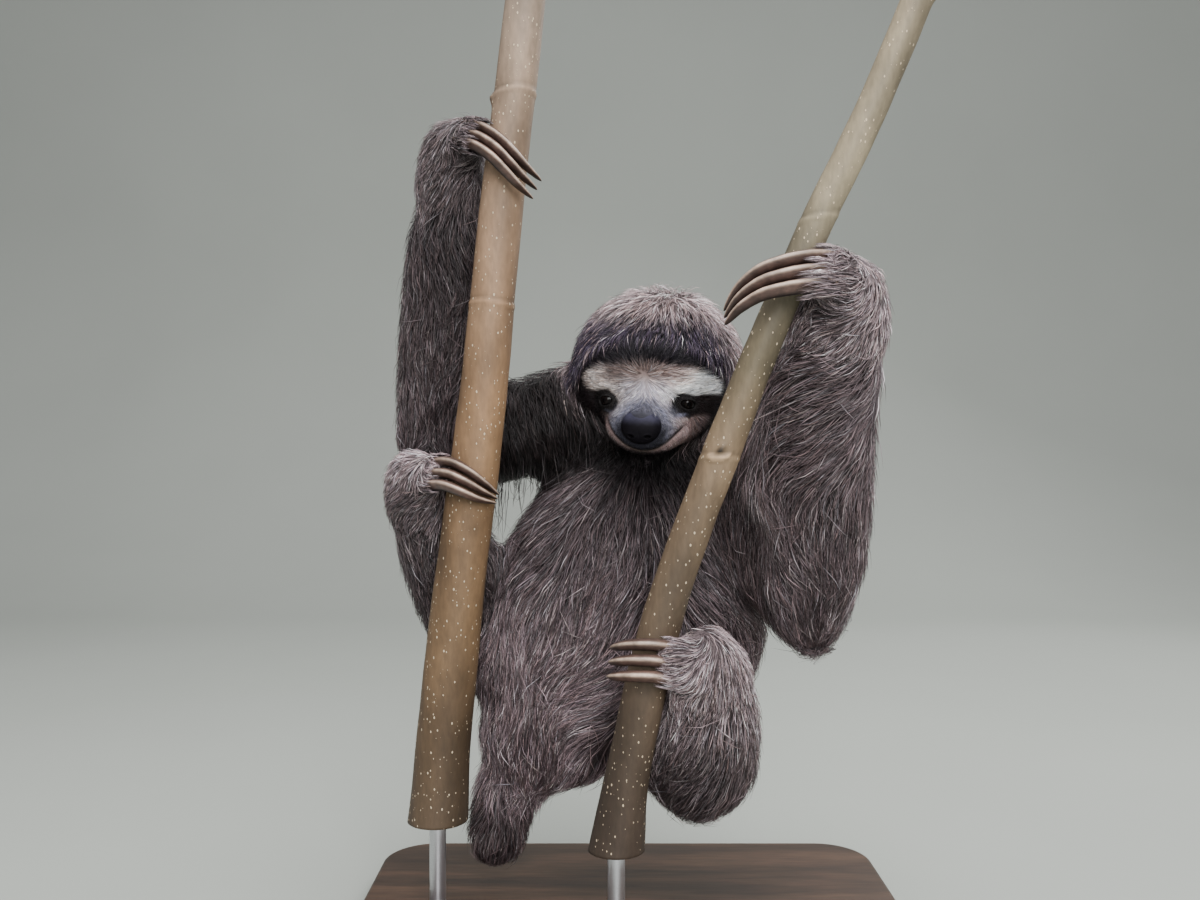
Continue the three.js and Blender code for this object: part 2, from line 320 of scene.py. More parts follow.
# The dark hair round the nose is an oval, and reaches less far above it than below.
NOSE_OVAL_WIDE, NOSE_OVAL_ABOVE, NOSE_OVAL_BELOW = 13.4, 11.6, 14.5

# The middle of the dark throat: aside and up in millimetres, and how far it spreads each way.
THROAT_ASIDE, THROAT_UP = 12, 306
THROAT_WIDE, THROAT_HIGH = 52, 30


def above_mouth(local):
    """How far a point on the face is above the line of the mouth, in millimetres."""
    off = local[:, 0] - MOUTH_ASIDE
    line = MOUTH_UP + MOUTH_CURVE * off ** 2
    return (local[:, 2] - line) / np.hypot(1, 2 * MOUTH_CURVE * off)


def oval(local, aside, up, half_wide, half_high, turn=0):
    """How far out a point is on an oval on the face: 1 at its edge."""
    across, above = local[:, 0] - aside, local[:, 2] - up
    cos, sin = math.cos(math.radians(turn)), math.sin(math.radians(turn))
    return np.hypot((across * cos + above * sin) / half_wide, (above * cos - across * sin) / half_high)


def eye_oval(local, sign, shape):
    """How far out a point is on one of the ovals round an eye, the right eye's for a sign of -1."""
    aside, above, half_wide, half_high, shift, turn = shape
    return oval(local, sign * aside + shift, EYE_UP + above, half_wide, half_high, sign * turn)


def pale_mask(wide, up, sunny):
    """The colour of the brows, the forehead and the bridge of the nose, and where that pale mask lies;
    painted light makes it paler on the sunny side, and painted shade darkens the hollows beside the bridge.
    """
    brow_top = 8.0 - 0.0052 * wide ** 2 + 1.5 * hump(wide, 27, 9)
    place = smooth(2.4, -2.0, up - brow_top) * smooth(45, 39, wide)
    colour = mixed(HAIR["brow"][None], HAIR["bridge"], smooth(22, 8, wide) * smooth(4, -6, up))
    colour = mixed(colour, HAIR["forehead"], smooth(36, 18, wide) * smooth(-9, 3, up) * 0.9)
    # Painted light: the mask is paler on the sunny side.
    colour = colour * (0.7 + 0.88 * sunny)[:, None]
    # Painted shade in the hollows between the eyes and the nose, lighter on the sunny side.
    hollow_shade = smooth(11, 19, wide) * smooth(-8, -17, up)
    colour = np.minimum(colour * (1 - hollow_shade * (0.6 - 0.25 * sunny))[:, None], 1)
    return colour, place


def nose_hair(colour, local, sunny):
    """The grey muzzle, with painted shade beside the nose that is deeper on the shaded side, and darkest
    round the nose, laid over the face's colour.
    """
    aside, _, up = local.T
    high = np.where(up > NOSE_UP, NOSE_OVAL_ABOVE, NOSE_OVAL_BELOW)
    from_nose = np.hypot(aside / NOSE_OVAL_WIDE, (up - NOSE_UP) / high)
    over_lip = smooth(-0.5, 1, above_mouth(local))
    colour = mixed(colour, HAIR["muzzle"], smooth(1.75, 1.1, from_nose) * over_lip * 0.94)
    # Painted shade beside the nose, deeper on the shaded side.
    beside = smooth(2.1, 1.5, from_nose) * smooth(-19 - 2 * sunny, -27 - 2 * sunny, up) * over_lip
    colour = mixed(colour, HAIR["shade_beside_nose"], beside * (0.9 - 0.35 * sunny))
    above = smooth(NOSE_UP - 3, NOSE_UP + 5, up)
    dark = smooth(1.38, 0.98, from_nose) * (1 - above) + smooth(1.22, 0.6, from_nose) * above
    return mixed(colour, HAIR["round_nose"], dark * 0.97)


def mouth_hair(colour, local, cheek_hair):
    """The jaw, the lip, the line of the mouth and the dark throat under it, laid over the face's colour."""
    aside, _, up = local.T
    wide, over = np.abs(aside), above_mouth(local)
    colour = mixed(colour, cheek_hair * 0.8, smooth(0.2, -0.6, over) * smooth(-20, -26, up))
    lip = smooth(-1.9, -1.0, over) * smooth(0.2, -0.2, over) * smooth(18, 9, wide)
    colour = mixed(colour, HAIR["lip"], lip * 0.5)
    colour = mixed(colour, HAIR["mouth"], hump(over, 0, 0.75) * smooth(25, 21, wide))
    chin = over + smooth(8, 24, aside) * 5 + smooth(8, 24, -aside) * 1.5
    return mixed(colour, HAIR["throat"], smooth(-1.6, -3.6, chin))


def face_colour(local):
    """The colour of the hair over the front of the head, with painted light that makes it paler on the
    animal's left, the sunny side.
    """
    aside, _, up = local.T
    wide = np.abs(aside)
    sunny = smooth(-24, 24, aside)
    colour = np.broadcast_to(HAIR["band"], (len(local), 3))
    colour = mixed(colour, *pale_mask(wide, up, sunny))
    # Painted light: the cheeks are lighter on the sunny side.
    cheek_hair = HAIR["cheek"] * ((0.56 + 0.5 * sunny) * smooth(-2, 20, wide))[:, None]
    colour = mixed(colour, cheek_hair, smooth(-17, -26, up) * smooth(12, 20, wide) * 0.9)
    colour = mixed(colour, HAIR["temple"], smooth(27, 37, wide) * smooth(-13, -22, up))
    for sign in (-1, 1):
        colour = mixed(colour, HAIR["stripe"], smooth(1.15, 0.85, eye_oval(local, sign, EYE_STRIPE)))
        colour = mixed(colour, HAIR["eye_rim"], smooth(1.18, 0.9, eye_oval(local, sign, EYE_RIM)))
        # The lower lid's own pale grey, shown far more on the left eye as painted light on the sunny side.
        lid = smooth(1.4, 0.5, eye_oval(local, sign, LOWER_LID))
        colour = mixed(colour, HAIR["lower_lid"], lid * (0.2 + 0.7 * (sign > 0)))
    return mouth_hair(nose_hair(colour, local, sunny), local, cheek_hair)


def body_colour(points, kinds):
    """The colour of the hair over the body, where kinds says which part each point is on, with painted
    light and shade laid over it.
    """
    colour = np.array([HAIR[NODE_HAIR[kind]] for kind in kinds])
    x, y, z = (points / MM).T
    throat = np.exp(-(((x - THROAT_ASIDE) / THROAT_WIDE) ** 2) - ((z - THROAT_UP) / THROAT_HIGH) ** 2)
    throat = throat * smooth(60, 10, y)
    colour = mixed(colour, HAIR["throat"], smooth(0.15, 0.8, throat))
    trunk = np.isin(kinds, ("trunk", "thigh"))
    colour = mixed(colour, HAIR["back"], smooth(50, 80, y) * trunk)
    # Painted shade on the trunk's left side, beneath the left arm.
    colour = colour * (1 - 0.32 * smooth(30, 58, x) * trunk)[:, None]
    sides = {"right": x < 0, "left": x > 0, "both": np.full(len(x), True)}
    level = np.ones(len(points))
    # Painted light and shade: each part lighter or darker up its height.
    for kind, side, low, high, first, last in PAINTED_LIGHT_LEVELS:
        here = (kinds == kind) & sides[side]
        level = np.where(here, first + (last - first) * smooth(low, high, z), level)
    return colour * level[:, None]


# ---------------------------------------------------------------- skin
def without_side(node):
    return node.removesuffix("_right").removesuffix("_left")


FLESH = [part["node"] for part in frame["record"]["subparts"] if part["material_slot"] == "coat"]
KINDS = np.array([without_side(node) for node in FLESH])
HEAD_NODE = FLESH.index("head")

# For each part of the body in millimetres: the coat's depth over the skin, and the length
# and width of its tufts; then how many tufts there are to a square centimetre.
COAT = {
    "head": (7.5, 17, 0.40, 84),
    "neck": (10, 26, 0.54, 46),
    "trunk": (10, 38, 0.58, 42),
    "tail": (8, 24, 0.56, 48),
    "thigh": (9, 34, 0.58, 44),
    "lower_leg": (8.5, 28, 0.56, 50),
    "foot": (4.5, 13, 0.45, 80),
    "upper_arm": (9.5, 34, 0.58, 42),
    "forearm": (8.5, 34, 0.56, 48),
    "hand": (4.5, 15, 0.45, 74),
}
FACE_DEPTH = 1.6

# The short-haired face is an oval, taller below its middle than above it, on the front of the head.
FACE_UP, FACE_HALF_WIDE, FACE_ABOVE, FACE_BELOW = -8, 46, 33, 41

# In millimetres: how far the coat's outline is swelled, the voxels it is joined with, and the skin's own.
# Between the two the outline is sunk by the coat's depth, in some steps.
OUTLINE_SWELL, OUTLINE_VOXEL, SKIN_VOXEL = 0.9, 2.6, 2.55
SINK_STEPS = 4


def face_share(local):
    """1 on the short-haired face, inside the fringe and the cheeks, and 0 behind it."""
    aside, forward, up = local.T
    half_height = np.where(up > FACE_UP, FACE_ABOVE, FACE_BELOW)
    ring = np.hypot(aside / FACE_HALF_WIDE, (up - FACE_UP) / half_height)
    return smooth(1.08, 0.92, ring) * smooth(6, 16, forward)


class Hull:
    """The outline of the coat, joined from the CAD solids, and which solid is nearest to a point."""

    def __init__(self):
        self.bm = bmesh.new()
        owners = []
        for i, node in enumerate(FLESH):
            self.bm.from_mesh(frame["nodes"][node].data)
            owners += [i] * (len(self.bm.faces) - len(owners))
        for node in ("nose", "eye_right", "eye_left"):
            self.bm.from_mesh(frame["nodes"][node].data)
            owners += [HEAD_NODE] * (len(self.bm.faces) - len(owners))
        self.tree = BVHTree.FromBMesh(self.bm)
        self.owner = np.array(owners)

    def nodes_at(self, points):
        return self.owner[[self.tree.find_nearest(Vector(p))[2] for p in points]]


def make_skin(hull):
    mesh = bpy.data.meshes.new("skin")
    bmesh.ops.remove_doubles(hull.bm, verts=hull.bm.verts, dist=0.01 * MM)
    hull.bm.to_mesh(mesh)
    hull.bm.free()
    skin = new_object("skin", mesh)
    mesh = baked(skin, [
        ("DISPLACE", {"strength": OUTLINE_SWELL * MM, "mid_level": 0}),
        ("REMESH", {"mode": "VOXEL", "voxel_size": OUTLINE_VOXEL * MM}),
        ("SMOOTH", {"factor": 0.5, "iterations": 14}),
    ])
    points, edges = points_of(mesh), read(mesh.edges, "vertices", 2, int)
    nodes = hull.nodes_at(points)
    depth = np.array([COAT[kind][0] for kind in KINDS])[nodes]
    bare = face_share(in_head(points)) * (nodes == HEAD_NODE)
    depth = evened(depth + (FACE_DEPTH - depth) * bare, edges, 10) * MM
    for _ in range(SINK_STEPS):
        move_points(mesh, points - normals_of(mesh) * depth[:, None] / SINK_STEPS)
        points = evened(points_of(mesh), edges, 1)
    move_points(mesh, points)
    mesh = baked(skin, [
        ("REMESH", {"mode": "VOXEL", "voxel_size": SKIN_VOXEL * MM}),
        ("SMOOTH", {"factor": 0.5, "iterations": 6}),
    ])
    refine_face(mesh)
    sculpt_face(mesh)
    unwrap(skin)
    mesh.shade_smooth()
    return finished(skin, "coat", *FLESH)


# In millimetres: how near the eyes' middles and the line of the mouth the face is divided most finely, half
# the width of that round the mouth, and how far forward the face begins.
FINE_EYE, FINE_MOUTH, FINE_MOUTH_WIDE = 9.5, 3.5, 26
FACE_FORWARD = 15


def finer(local, level):
    """Which points of the face are divided at each of three levels."""
    if level == 0:
        return face_share(local) > 0
    if level == 1:
        fine = oval(local, 0, -20, 38, 27) < 1
    else:
        fine = (np.abs(above_mouth(local)) < FINE_MOUTH) & (np.abs(local[:, 0]) < FINE_MOUTH_WIDE)
        for sign in (-1, 1):
            fine |= oval(local, sign * EYE_ASIDE, EYE_UP, FINE_EYE, FINE_EYE) < 1
    return fine & (local[:, 1] > FACE_FORWARD)


def refine_face(mesh):
    """Divides the skin finely on the face, and most finely round the eyes and the mouth."""
    bm = bmesh.new()
    bm.from_mesh(mesh)
    for level in range(3):
        fine = finer(in_head(np.array([v.co for v in bm.verts])), level)
        edges = [e for e in bm.edges if fine[e.verts[0].index] and fine[e.verts[1].index]]
        bmesh.ops.subdivide_edges(bm, edges=edges, cuts=1, use_grid_fill=True)
        bm.verts.index_update()
        near = face_share(in_head(np.array([v.co for v in bm.verts]))) > 0.02
        bmesh.ops.smooth_vert(
            bm, verts=[v for v, is_near in zip(bm.verts, near) if is_near], factor=0.5,
            use_axis_x=True, use_axis_y=True, use_axis_z=True,
        )
    bm.to_mesh(mesh)
    bm.free()


# In millimetres: an eye's radius, its lids' thickness, half the width and height of the gap between them,
# how far up the gap's middle is, and how far from the eye's middle the lids and the socket end. Then the
# droop of the lids in degrees, and the way that the left eye looks: aside, forward and up.
EYE_RADIUS = 5.2
LID_THICKNESS = 0.75
OPENING = (4.8, 2.7)
OPENING_UP = -0.4
LID_EDGE, SOCKET_EDGE = 4.6, 9.5
LID_DROOP = 12
EYES_LOOK = (0.42, 0.9, 0.02)


def eye_frame(node, sign):
    """An eye's middle, and its directions across, out and up."""
    out = unit(np.array([EYES_LOOK[0] * sign, *EYES_LOOK[1:]]) @ HEAD_AXES)
    level = unit(np.cross(out, HEAD_AXES[2]))
    upright = np.cross(level, out)
    droop = math.radians(LID_DROOP) * sign
    across = level * math.cos(droop) + upright * math.sin(droop)
    return np.array(middle(node)), np.array([across, out, np.cross(across, out)])


EYES = {node: eye_frame(node, sign) for node, sign in (("eye_right", -1), ("eye_left", 1))}


def in_eye(points, eye):
    """Points in an eye's own directions in millimetres: across, out and up."""
    centre, axes = eye
    return (points - centre) @ axes.T / MM


def opening(local):
    """How far out a point is on the gap between an eye's lids: 1 at its edge."""
    return np.hypot(local[:, 0] / OPENING[0], (local[:, 2] - OPENING_UP) / OPENING[1])


# Folds along the mouth in millimetres: how far each stands out, its height over the line, and its spread.
MOUTH_FOLDS = [(-1.5, 0, 0.75), (1.0, -2.4, 1.6), (0.5, 2.0, 1.5)]
# The brows, the cheeks and the hollows by the nose in millimetres: how far each stands out, its place aside
# and up, its half width and half height, and its turn in degrees.
FACE_FORMS = [(1.3, 25, -4.5, 10, 3.6, -8), (0.8, 22, -30, 7, 6, 0), (-0.9, 13, -16, 5, 8, 0)]
# How far the bridge of the nose stands out, and how far over the nose it is.
BRIDGE_RISE, BRIDGE_OVER_NOSE = 2.7, 9.5


def sculpt_face(mesh):
    """Shapes the lids round the eyes, the brows, the line of the mouth, the lip and the chin."""
    points = points_of(mesh)
    local = in_head(points)
    aside, forward, _ = local.T
    front = smooth(14, 20, forward)
    near_mouth = smooth(25, 19, np.abs(aside - MOUTH_ASIDE)) * smooth(24, 32, forward)
    raised = np.zeros(len(points))
    for rise, above, spread in MOUTH_FOLDS:
        raised += rise * hump(above_mouth(local), above, spread) * near_mouth
    for sign in (-1, 1):
        for rise, out, up, half_wide, half_high, turn in FACE_FORMS:
            ring = oval(local, sign * out, up, half_wide, half_high, sign * turn)
            raised += rise * np.exp(-(ring ** 2)) * front
    bridge = oval(local, 0, NOSE_UP + BRIDGE_OVER_NOSE, 12, 8)
    raised += BRIDGE_RISE * np.exp(-(bridge ** 2)) * front
    points = points + normals_of(mesh) * raised[:, None] * MM
    for eye in EYES.values():
        points = with_lids(points, eye)
    move_points(mesh, points)


def with_lids(points, eye):
    """Points near an eye drawn into two lids over its ball, with the skin tucked in between them."""
    centre, axes = eye
    near = in_eye(points, eye)
    out = np.hypot(near[:, 0], near[:, 2])
    ball = np.sqrt(np.maximum((EYE_RADIUS + LID_THICKNESS) ** 2 - np.minimum(out, LID_EDGE) ** 2, 0))
    lid = ball - np.maximum(out - LID_EDGE, 0) * 0.62
    fold = opening(near)
    lid += 0.12 * hump(fold, 1.12, 0.1)
    lid -= 0.12 * hump(fold, 1.5, 0.13) * smooth(-1, 1.5, near[:, 2])
    lid -= 0.12 * hump(fold, 1.55, 0.12) * smooth(1, -1.5, near[:, 2])
    hidden = EYE_RADIUS - 2.4
    lid = lid + (hidden - lid) * smooth(1.06, 0.94, fold)
    near[:, 1] += (lid - near[:, 1]) * smooth(SOCKET_EDGE, 5.5, out) * (near[:, 1] > -4)
    return centre + near @ axes * MM


def unwrap(piece):
    """Lays a piece's own surface out flat, as the map named OFBake."""
    piece.data.uv_layers.new(name="OFBake")
    bpy.ops.object.select_all(action="DESELECT")
    piece.select_set(True)
    bpy.context.view_layer.objects.active = piece
    bpy.ops.object.mode_set(mode="EDIT")
    bpy.ops.mesh.select_all(action="SELECT")
    bpy.ops.uv.smart_project(angle_limit=math.radians(66), island_margin=0.002)
    bpy.ops.object.mode_set(mode="OBJECT")


# ---------------------------------------------------------------- lie of the coat
# Strokes of a comb for each part: a place in millimetres and the way that the hair runs there.
# The stroke nearest to a point says most about the hair there.
STROKES = {
    "neck": [
        (10, 0, 296, 0, -0.3, -1), (-30, 20, 300, -0.7, 0, -0.7), (50, 15, 290, 0.6, 0, -0.8),
        (14, 100, 320, 0, 0.2, -1),
    ],
    "trunk": [
        (-43, -5, 290, -0.6, 0, -0.8), (5, -15, 290, 0.2, 0, -1), (-25, -15, 250, -0.15, 0, -1),
        (-54, 0, 237, -0.45, 0, -0.9), (-19, -15, 213, -0.4, 0, -0.9), (10, -15, 213, -0.3, 0, -0.95),
        (40, -10, 228, 0.75, 0, -0.65), (52, -5, 190, 0.5, 0, -0.85), (-43, -12, 172, -0.7, 0, -0.7),
        (-19, -12, 166, -0.85, 0, -0.5), (-78, 10, 166, 0.5, 0, -0.85), (-19, -5, 137, -0.95, 0, -0.15),
        (15, -5, 150, -0.8, 0, -0.3), (-45, 0, 118, -0.1, 0, -1), (-66, 0, 125, -0.2, 0, -1),
        (-100, 50, 150, 0, 0.2, -1), (65, 50, 240, 0.2, 0.2, -1), (70, 50, 190, 0, 0.3, -1),
        (0, 105, 270, 0, 0, -1), (0, 110, 200, 0, 0, -1), (-20, 105, 130, 0, 0, -1),
        (-50, 60, 70, -0.4, 0.1, -1),
    ],
    "tail": [(-80, 30, 70, -0.2, 0, -1), (-80, 90, 70, -0.2, 0.1, -1)],
    "upper_arm_right": [
        (-50, 20, 320, 0.3, 0, -1), (-100, 20, 310, 0.1, 0, -1), (-75, 95, 315, 0, 0.2, -1),
    ],
    "forearm_right": [
        (-115, 0, 455, -0.1, 0, -1), (-135, 10, 430, 0.15, 0, -1), (-95, -5, 420, 0.2, 0, -1),
        (-115, 10, 370, -0.15, 0, -1), (-90, 20, 350, -0.3, 0, -1), (-140, 30, 330, 0.2, 0, -1),
        (-115, 20, 310, 0, 0, -1), (-115, 75, 360, 0, 0.2, -1),
    ],
    "hand_right": [
        (-100, -12, 497, -0.9, 0, 0.4), (-116, 0, 498, -0.9, 0.2, -0.2), (-122, 2, 480, -0.2, 0, -1),
        (-106, -15, 475, -0.45, 0, -0.9), (-100, 12, 480, 0, 0.3, -1),
    ],
    "upper_arm_left": [
        (75, 0, 280, 0.3, -0.3, -0.9), (110, 10, 240, 0.1, -0.3, -0.9), (90, 60, 250, 0.2, -0.2, -0.9),
    ],
    "forearm_left": [
        (112, -95, 362, -0.95, 0, -0.35), (90, -90, 360, -1, 0, -0.15), (136, -80, 370, -0.25, 0, -1),
        (108, -90, 340, -0.95, 0, -0.45), (130, -80, 335, -0.5, 0, -0.85), (86, -80, 332, -0.95, 0, -0.35),
        (96, -80, 316, -0.8, 0, -0.6), (118, -75, 305, -0.55, 0, -0.85),
        (76, -62, 300, -0.8, 0, -0.6), (117, -60, 255, -0.15, 0, -1), (86, -60, 255, 0.25, 0, -1),
        (72, -45, 245, 0.5, 0, -0.85), (101, -45, 218, 0, 0, -1), (82, -40, 213, 0.6, 0, -0.8),
        (130, -20, 220, -0.6, 0, -0.8), (115, 0, 300, 0, 0, -1), (115, -40, 380, 0, 0.3, -1),
    ],
    "hand_left": [
        (100, -95, 402, 0.9, 0, 0.45), (112, -80, 406, 1, 0, -0.1), (128, -75, 388, 0, 0, -1),
        (112, -98, 384, -0.85, 0, -0.5), (96, -98, 380, -0.95, 0, -0.4), (110, -55, 390, 0.2, 0.3, -1),
    ],
    "thigh_right": [(-70, 15, 160, -0.2, 0, -1), (-100, 30, 190, 0, 0, -1), (-80, 90, 170, 0, 0.2, -1)],
    "lower_leg_right": [
        (-128, -10, 265, 0.1, 0, -1), (-148, 10, 265, 0.15, 0, -1), (-105, 0, 250, 0.25, 0, -1),
        (-118, 5, 225, 0.1, 0, -1), (-100, 15, 205, 0.3, 0, -1), (-125, 60, 230, 0, 0.2, -1),
    ],
    "foot_right": [
        (-122, -14, 298, -0.9, 0, 0.4), (-138, 0, 298, -0.7, 0.1, -0.6), (-126, -18, 280, -0.5, 0, -0.85),
        (-120, 15, 290, 0, 0.4, -1),
    ],
    "thigh_left": [(10, 0, 140, 0.1, -0.2, -1), (40, -25, 120, 0.1, 0, -1), (20, 50, 110, 0, 0.2, -1)],
    "lower_leg_left": [
        (57, -60, 177, 0.3, 0, -0.95), (32, -75, 170, -0.35, 0, -0.9), (20, -65, 145, -0.6, 0, -0.8),
        (46, -72, 144, -0.1, 0, -1), (66, -50, 144, 0.1, 0, -1), (25, -55, 115, -0.7, 0, -0.6),
        (52, -60, 117, -0.2, 0, -1), (45, -15, 150, 0.1, 0.2, -1),
    ],
    "foot_left": [
        (22, -70, 200, -0.5, 0, 0.1), (40, -58, 206, 0.9, 0.1, -0.1), (52, -55, 192, 0.5, 0, -0.85),
        (32, -76, 192, -0.7, 0, -0.7), (28, -76, 180, -0.5, 0, -0.85), (42, -70, 184, 0.1, 0, -1),
        (35, -40, 192, 0.2, 0.3, -1),
    ],
}
# In millimetres: how far a stroke tells, and how far round their roots the claws turn the hair.
STROKE_REACH = 14
CLAW_REACH = 13
# The hair runs away from the whorl on the crown, and downwards besides.
CROWN_STRETCH, CROWN_FALL = np.array([1, 1, 1.1]), np.array([0, 0, -6])


def combed(points, nodes):
    """The way that the hair runs at points on the skin, from the strokes for their parts, and how near
    each point is to a paw's claws."""
    flow, rooted = np.zeros_like(points), np.zeros(len(points))
    for i, node in enumerate(FLESH):
        here = nodes == i
        if node == "head" or not here.any():
            continue
        strokes = np.array(STROKES[node])
        apart = np.linalg.norm(points[here, None] / MM - strokes[None, :, :3], axis=2)
        weight = 1 / (apart ** 2 + STROKE_REACH ** 2) ** 2
        flow[here] = weight @ strokes[:, 3:]
    for paw, claw in CLAWS.items():
        here = nodes == FLESH.index(paw)
        path, step = claw["path"], np.array(claw["step"])
        root, way = np.add(path[0], path[1]) / 2, np.subtract(path[2], path[0])
        off = points[here] / MM - root
        along = np.clip(dot(off, step) / dot(step, step), -1, 1)
        near = hump(np.linalg.norm(off - along * step, axis=1), 0, CLAW_REACH)
        flow[here] = mixed(unit(flow[here]), unit(way), near)
        rooted[here] = near
    crown = (in_head(points) - WHORL) * CROWN_STRETCH + CROWN_FALL
    here = nodes == HEAD_NODE
    flow[here] = (crown @ HEAD_AXES)[here]
    return flow, rooted


def face_flow(local):
    """The way that the short hair runs on the face, in the head's own directions."""
    flow = local - STAR
    flow = flow / (np.linalg.norm(flow, axis=1, keepdims=True) + 2)
    for sign in (-1, 1):
        away = local - [sign * 24, EYE_FORWARD, EYE_UP]
        apart = np.linalg.norm(away, axis=1, keepdims=True)
        flow = flow + away / apart * 1.6 * hump(apart, 0, 10.5)
    away = local - NOSE_PLACE
    apart = np.linalg.norm(away, axis=1, keepdims=True)
    lower = smooth(-20, -30, local[:, 2])[:, None]
    return flow + away / apart * 1.3 * lower * hump(apart, 0, 17)


def coat_colour(points, nodes, rooted, front, edges):
    """The coat's colour at points on the skin: the body's, with the face's in front, and the dark fringe
    and jowls on the long hair of the head, with painted shade round the claws' roots and on the long
    hair of the head's shaded right side."""
    aside, forward, up = in_head(points).T
    # Painted shade: the fur is darker round the claws' roots.
    body = evened(body_colour(points, KINDS[nodes]) * (1 - 0.4 * rooted)[:, None], edges, 4)
    tones = mixed(body, face_colour(in_head(points)), front)
    long_hair = (nodes == HEAD_NODE) * (1 - front)
    # Painted shade on the long hair of the head's right side, the shaded side.
    shade = smooth(-4, -34, aside)
    tones = tones * (1 - 0.3 * shade * long_hair)[:, None]
    fringe = smooth(6 - 16 * shade, 22 - 14 * shade, forward) * smooth(42, 32, up) * smooth(-14, 0, up)
    tones = mixed(tones, HAIR["fringe"], fringe * 0.93 * long_hair)
    jowl = smooth(4, 14, forward) * smooth(2, -10, up) * long_hair
    return mixed(tones, HAIR["throat"], jowl * 0.6)


class Lay:
    """The skin's triangles, and how the coat lies on each."""

    def __init__(self, skin, hull):
        mesh = skin.data
        points, edges = points_of(mesh), read(mesh.edges, "vertices", 2, int)
        normals = normals_of(mesh)
        nodes = hull.nodes_at(points + normals * 4 * MM)
        local = in_head(points)
        bare = face_share(local) * (nodes == HEAD_NODE)
        front = smooth(0.15, 0.45, bare)
        flow, rooted = combed(points, nodes)
        flow = unit(flat_on(evened(unit(flat_on(flow, normals)), edges, 8), normals))
        short = unit(flat_on(face_flow(local) @ HEAD_AXES, normals))
        sizes = evened(np.array([COAT[kind] for kind in KINDS])[nodes], edges, 6)
        tones = coat_colour(points, nodes, rooted, front, edges)
        mesh.calc_loop_triangles()
        corners = read(mesh.loop_triangles, "vertices", 3, int)
        loops = read(mesh.loop_triangles, "loops", 3, int)
        uv = read(mesh.uv_layers["OFBake"].data, "uv", 2)
        self.tree = BVHTree.FromPolygons(points.tolist(), corners.tolist())
        self.corners = points[corners]
        self.uv = uv[loops]
        self.normal = unit(normals[corners].mean(1))
        self.flow = unit(flow[corners].mean(1))
        self.short_flow = unit(short[corners].mean(1))
        self.depth, self.length, self.width, self.density = sizes[corners].mean(1).T
        self.bare = bare[corners].mean(1)
        self.tone = tones[corners].mean(1)
        self.node = nodes[corners[:, 0]]
        spans = np.cross(self.corners[:, 1] - self.corners[:, 0], self.corners[:, 2] - self.corners[:, 0])
        self.area = np.linalg.norm(spans, axis=1) / 2
        # The skin is painted darker than the hair over it, as shade between the tufts, less so on the face.
        self.point_tones = tones * (0.24 + 0.56 * front)[:, None]

    def nearest(self, points):
        """The places on the skin nearest to some points, and the triangles they are on."""
        found = [self.tree.find_nearest(p)[::2] for p in points.tolist()]
        return np.array([f[0] for f in found]), np.array([f[1] for f in found])

    def sample(self, weight, count):
        """Random roots, more where a triangle's weight is more, with their triangles and map places."""
        share = np.cumsum(weight * self.area)
        faces = np.searchsorted(share, RNG.random(count) * share[-1])
        a, b = RNG.random((2, count, 1))
        over = a + b > 1
        a, b = np.where(over, 1 - a, a), np.where(over, 1 - b, b)
        spots = []
        for values in (self.corners, self.uv):
            first, second, third = values[faces].transpose(1, 0, 2)
            spots.append(first + (second - first) * a + (third - first) * b)
        return spots[0], faces, spots[1]


def wander(points, scale, seed):
    """Slow random turns over the body, between about -1 and 1."""
    places = (points * scale + seed).tolist()
    return np.array([noise.noise(p) for p in places]) * 1.6


# ---------------------------------------------------------------- tufts
# A tuft is a thin closed spindle: a buried point, two rings of three, and a free point.
RING_TURNS = np.radians([90, 210, 330])
TUFT_FACES = [(0, 2, 1), (0, 3, 2), (0, 1, 3)]
for side in range(3):
    after = (side + 1) % 3
    TUFT_FACES += [(1 + side, 1 + after, 4 + after), (1 + side, 4 + after, 4 + side)]
    TUFT_FACES += [(4 + side, 4 + after, 7)]
TUFT_FACES = np.array(TUFT_FACES)
# The side of a tuft's patch on the map, and where in it each of the tuft's points lies.
TUFT_PATCH = 0.003
TUFT_CELLS = np.array([(0, 0), (0, 0.35), (0.5, 0.35), (1, 0.35), (0, 0.7), (0.5, 0.7), (1, 0.7), (1, 1)])


def tuft_mesh(name, paths, normals, widths, tones, spots):
    """Joins tufts into one mesh. A path has four points, a width is a tuft's widest, and its tones go from
    root to tip."""
    count = len(paths)
    points = np.empty((count, 8, 3))
    points[:, 0] = paths[:, 0]
    points[:, 7] = paths[:, 3]
    for ring, at, share in ((1, 1, 1.0), (4, 2, 0.72)):
        along = unit(paths[:, at + 1] - paths[:, at - 1])
        out = unit(flat_on(normals[:, at], along))
        across = np.cross(along, out)
        for i, turn in enumerate(RING_TURNS):
            offset = across * math.cos(turn) + out * math.sin(turn) * 0.7
            points[:, ring + i] = paths[:, at] + offset * widths[:, None] * share / 2
    colours = tones[:, [0, 1, 1, 1, 2, 2, 2, 3]]
    patches = np.clip(spots[:, None] + (TUFT_CELLS - 0.5) * TUFT_PATCH, 0, 1)
    faces = TUFT_FACES[None] + np.arange(count)[:, None, None] * 8
    return mesh_from(
        name, points.reshape(-1, 3), faces.reshape(-1, 3), colours.reshape(-1, 3), patches.reshape(-1, 2)
    )


# How far each of a tuft's four points stands off the skin, as a share of its lift.
LIFT_SHARES = np.array([-0.12, 0.42, 0.8, 1.0])
# The gap between a tuft and a stem's bark, in millimetres.
BARK_GAP = 0.6
# From a tuft's root to its tip: how far it is drawn to its guide, and how light it is, dark at the root
# partly as the hair's own colour and partly as painted shade deep in the coat.
CLUMP_SHARES = np.array([0, 0.12, 0.45, 0.8])
TIP_LEVELS = np.array([0.14, 0.4, 1.0, 1.45])
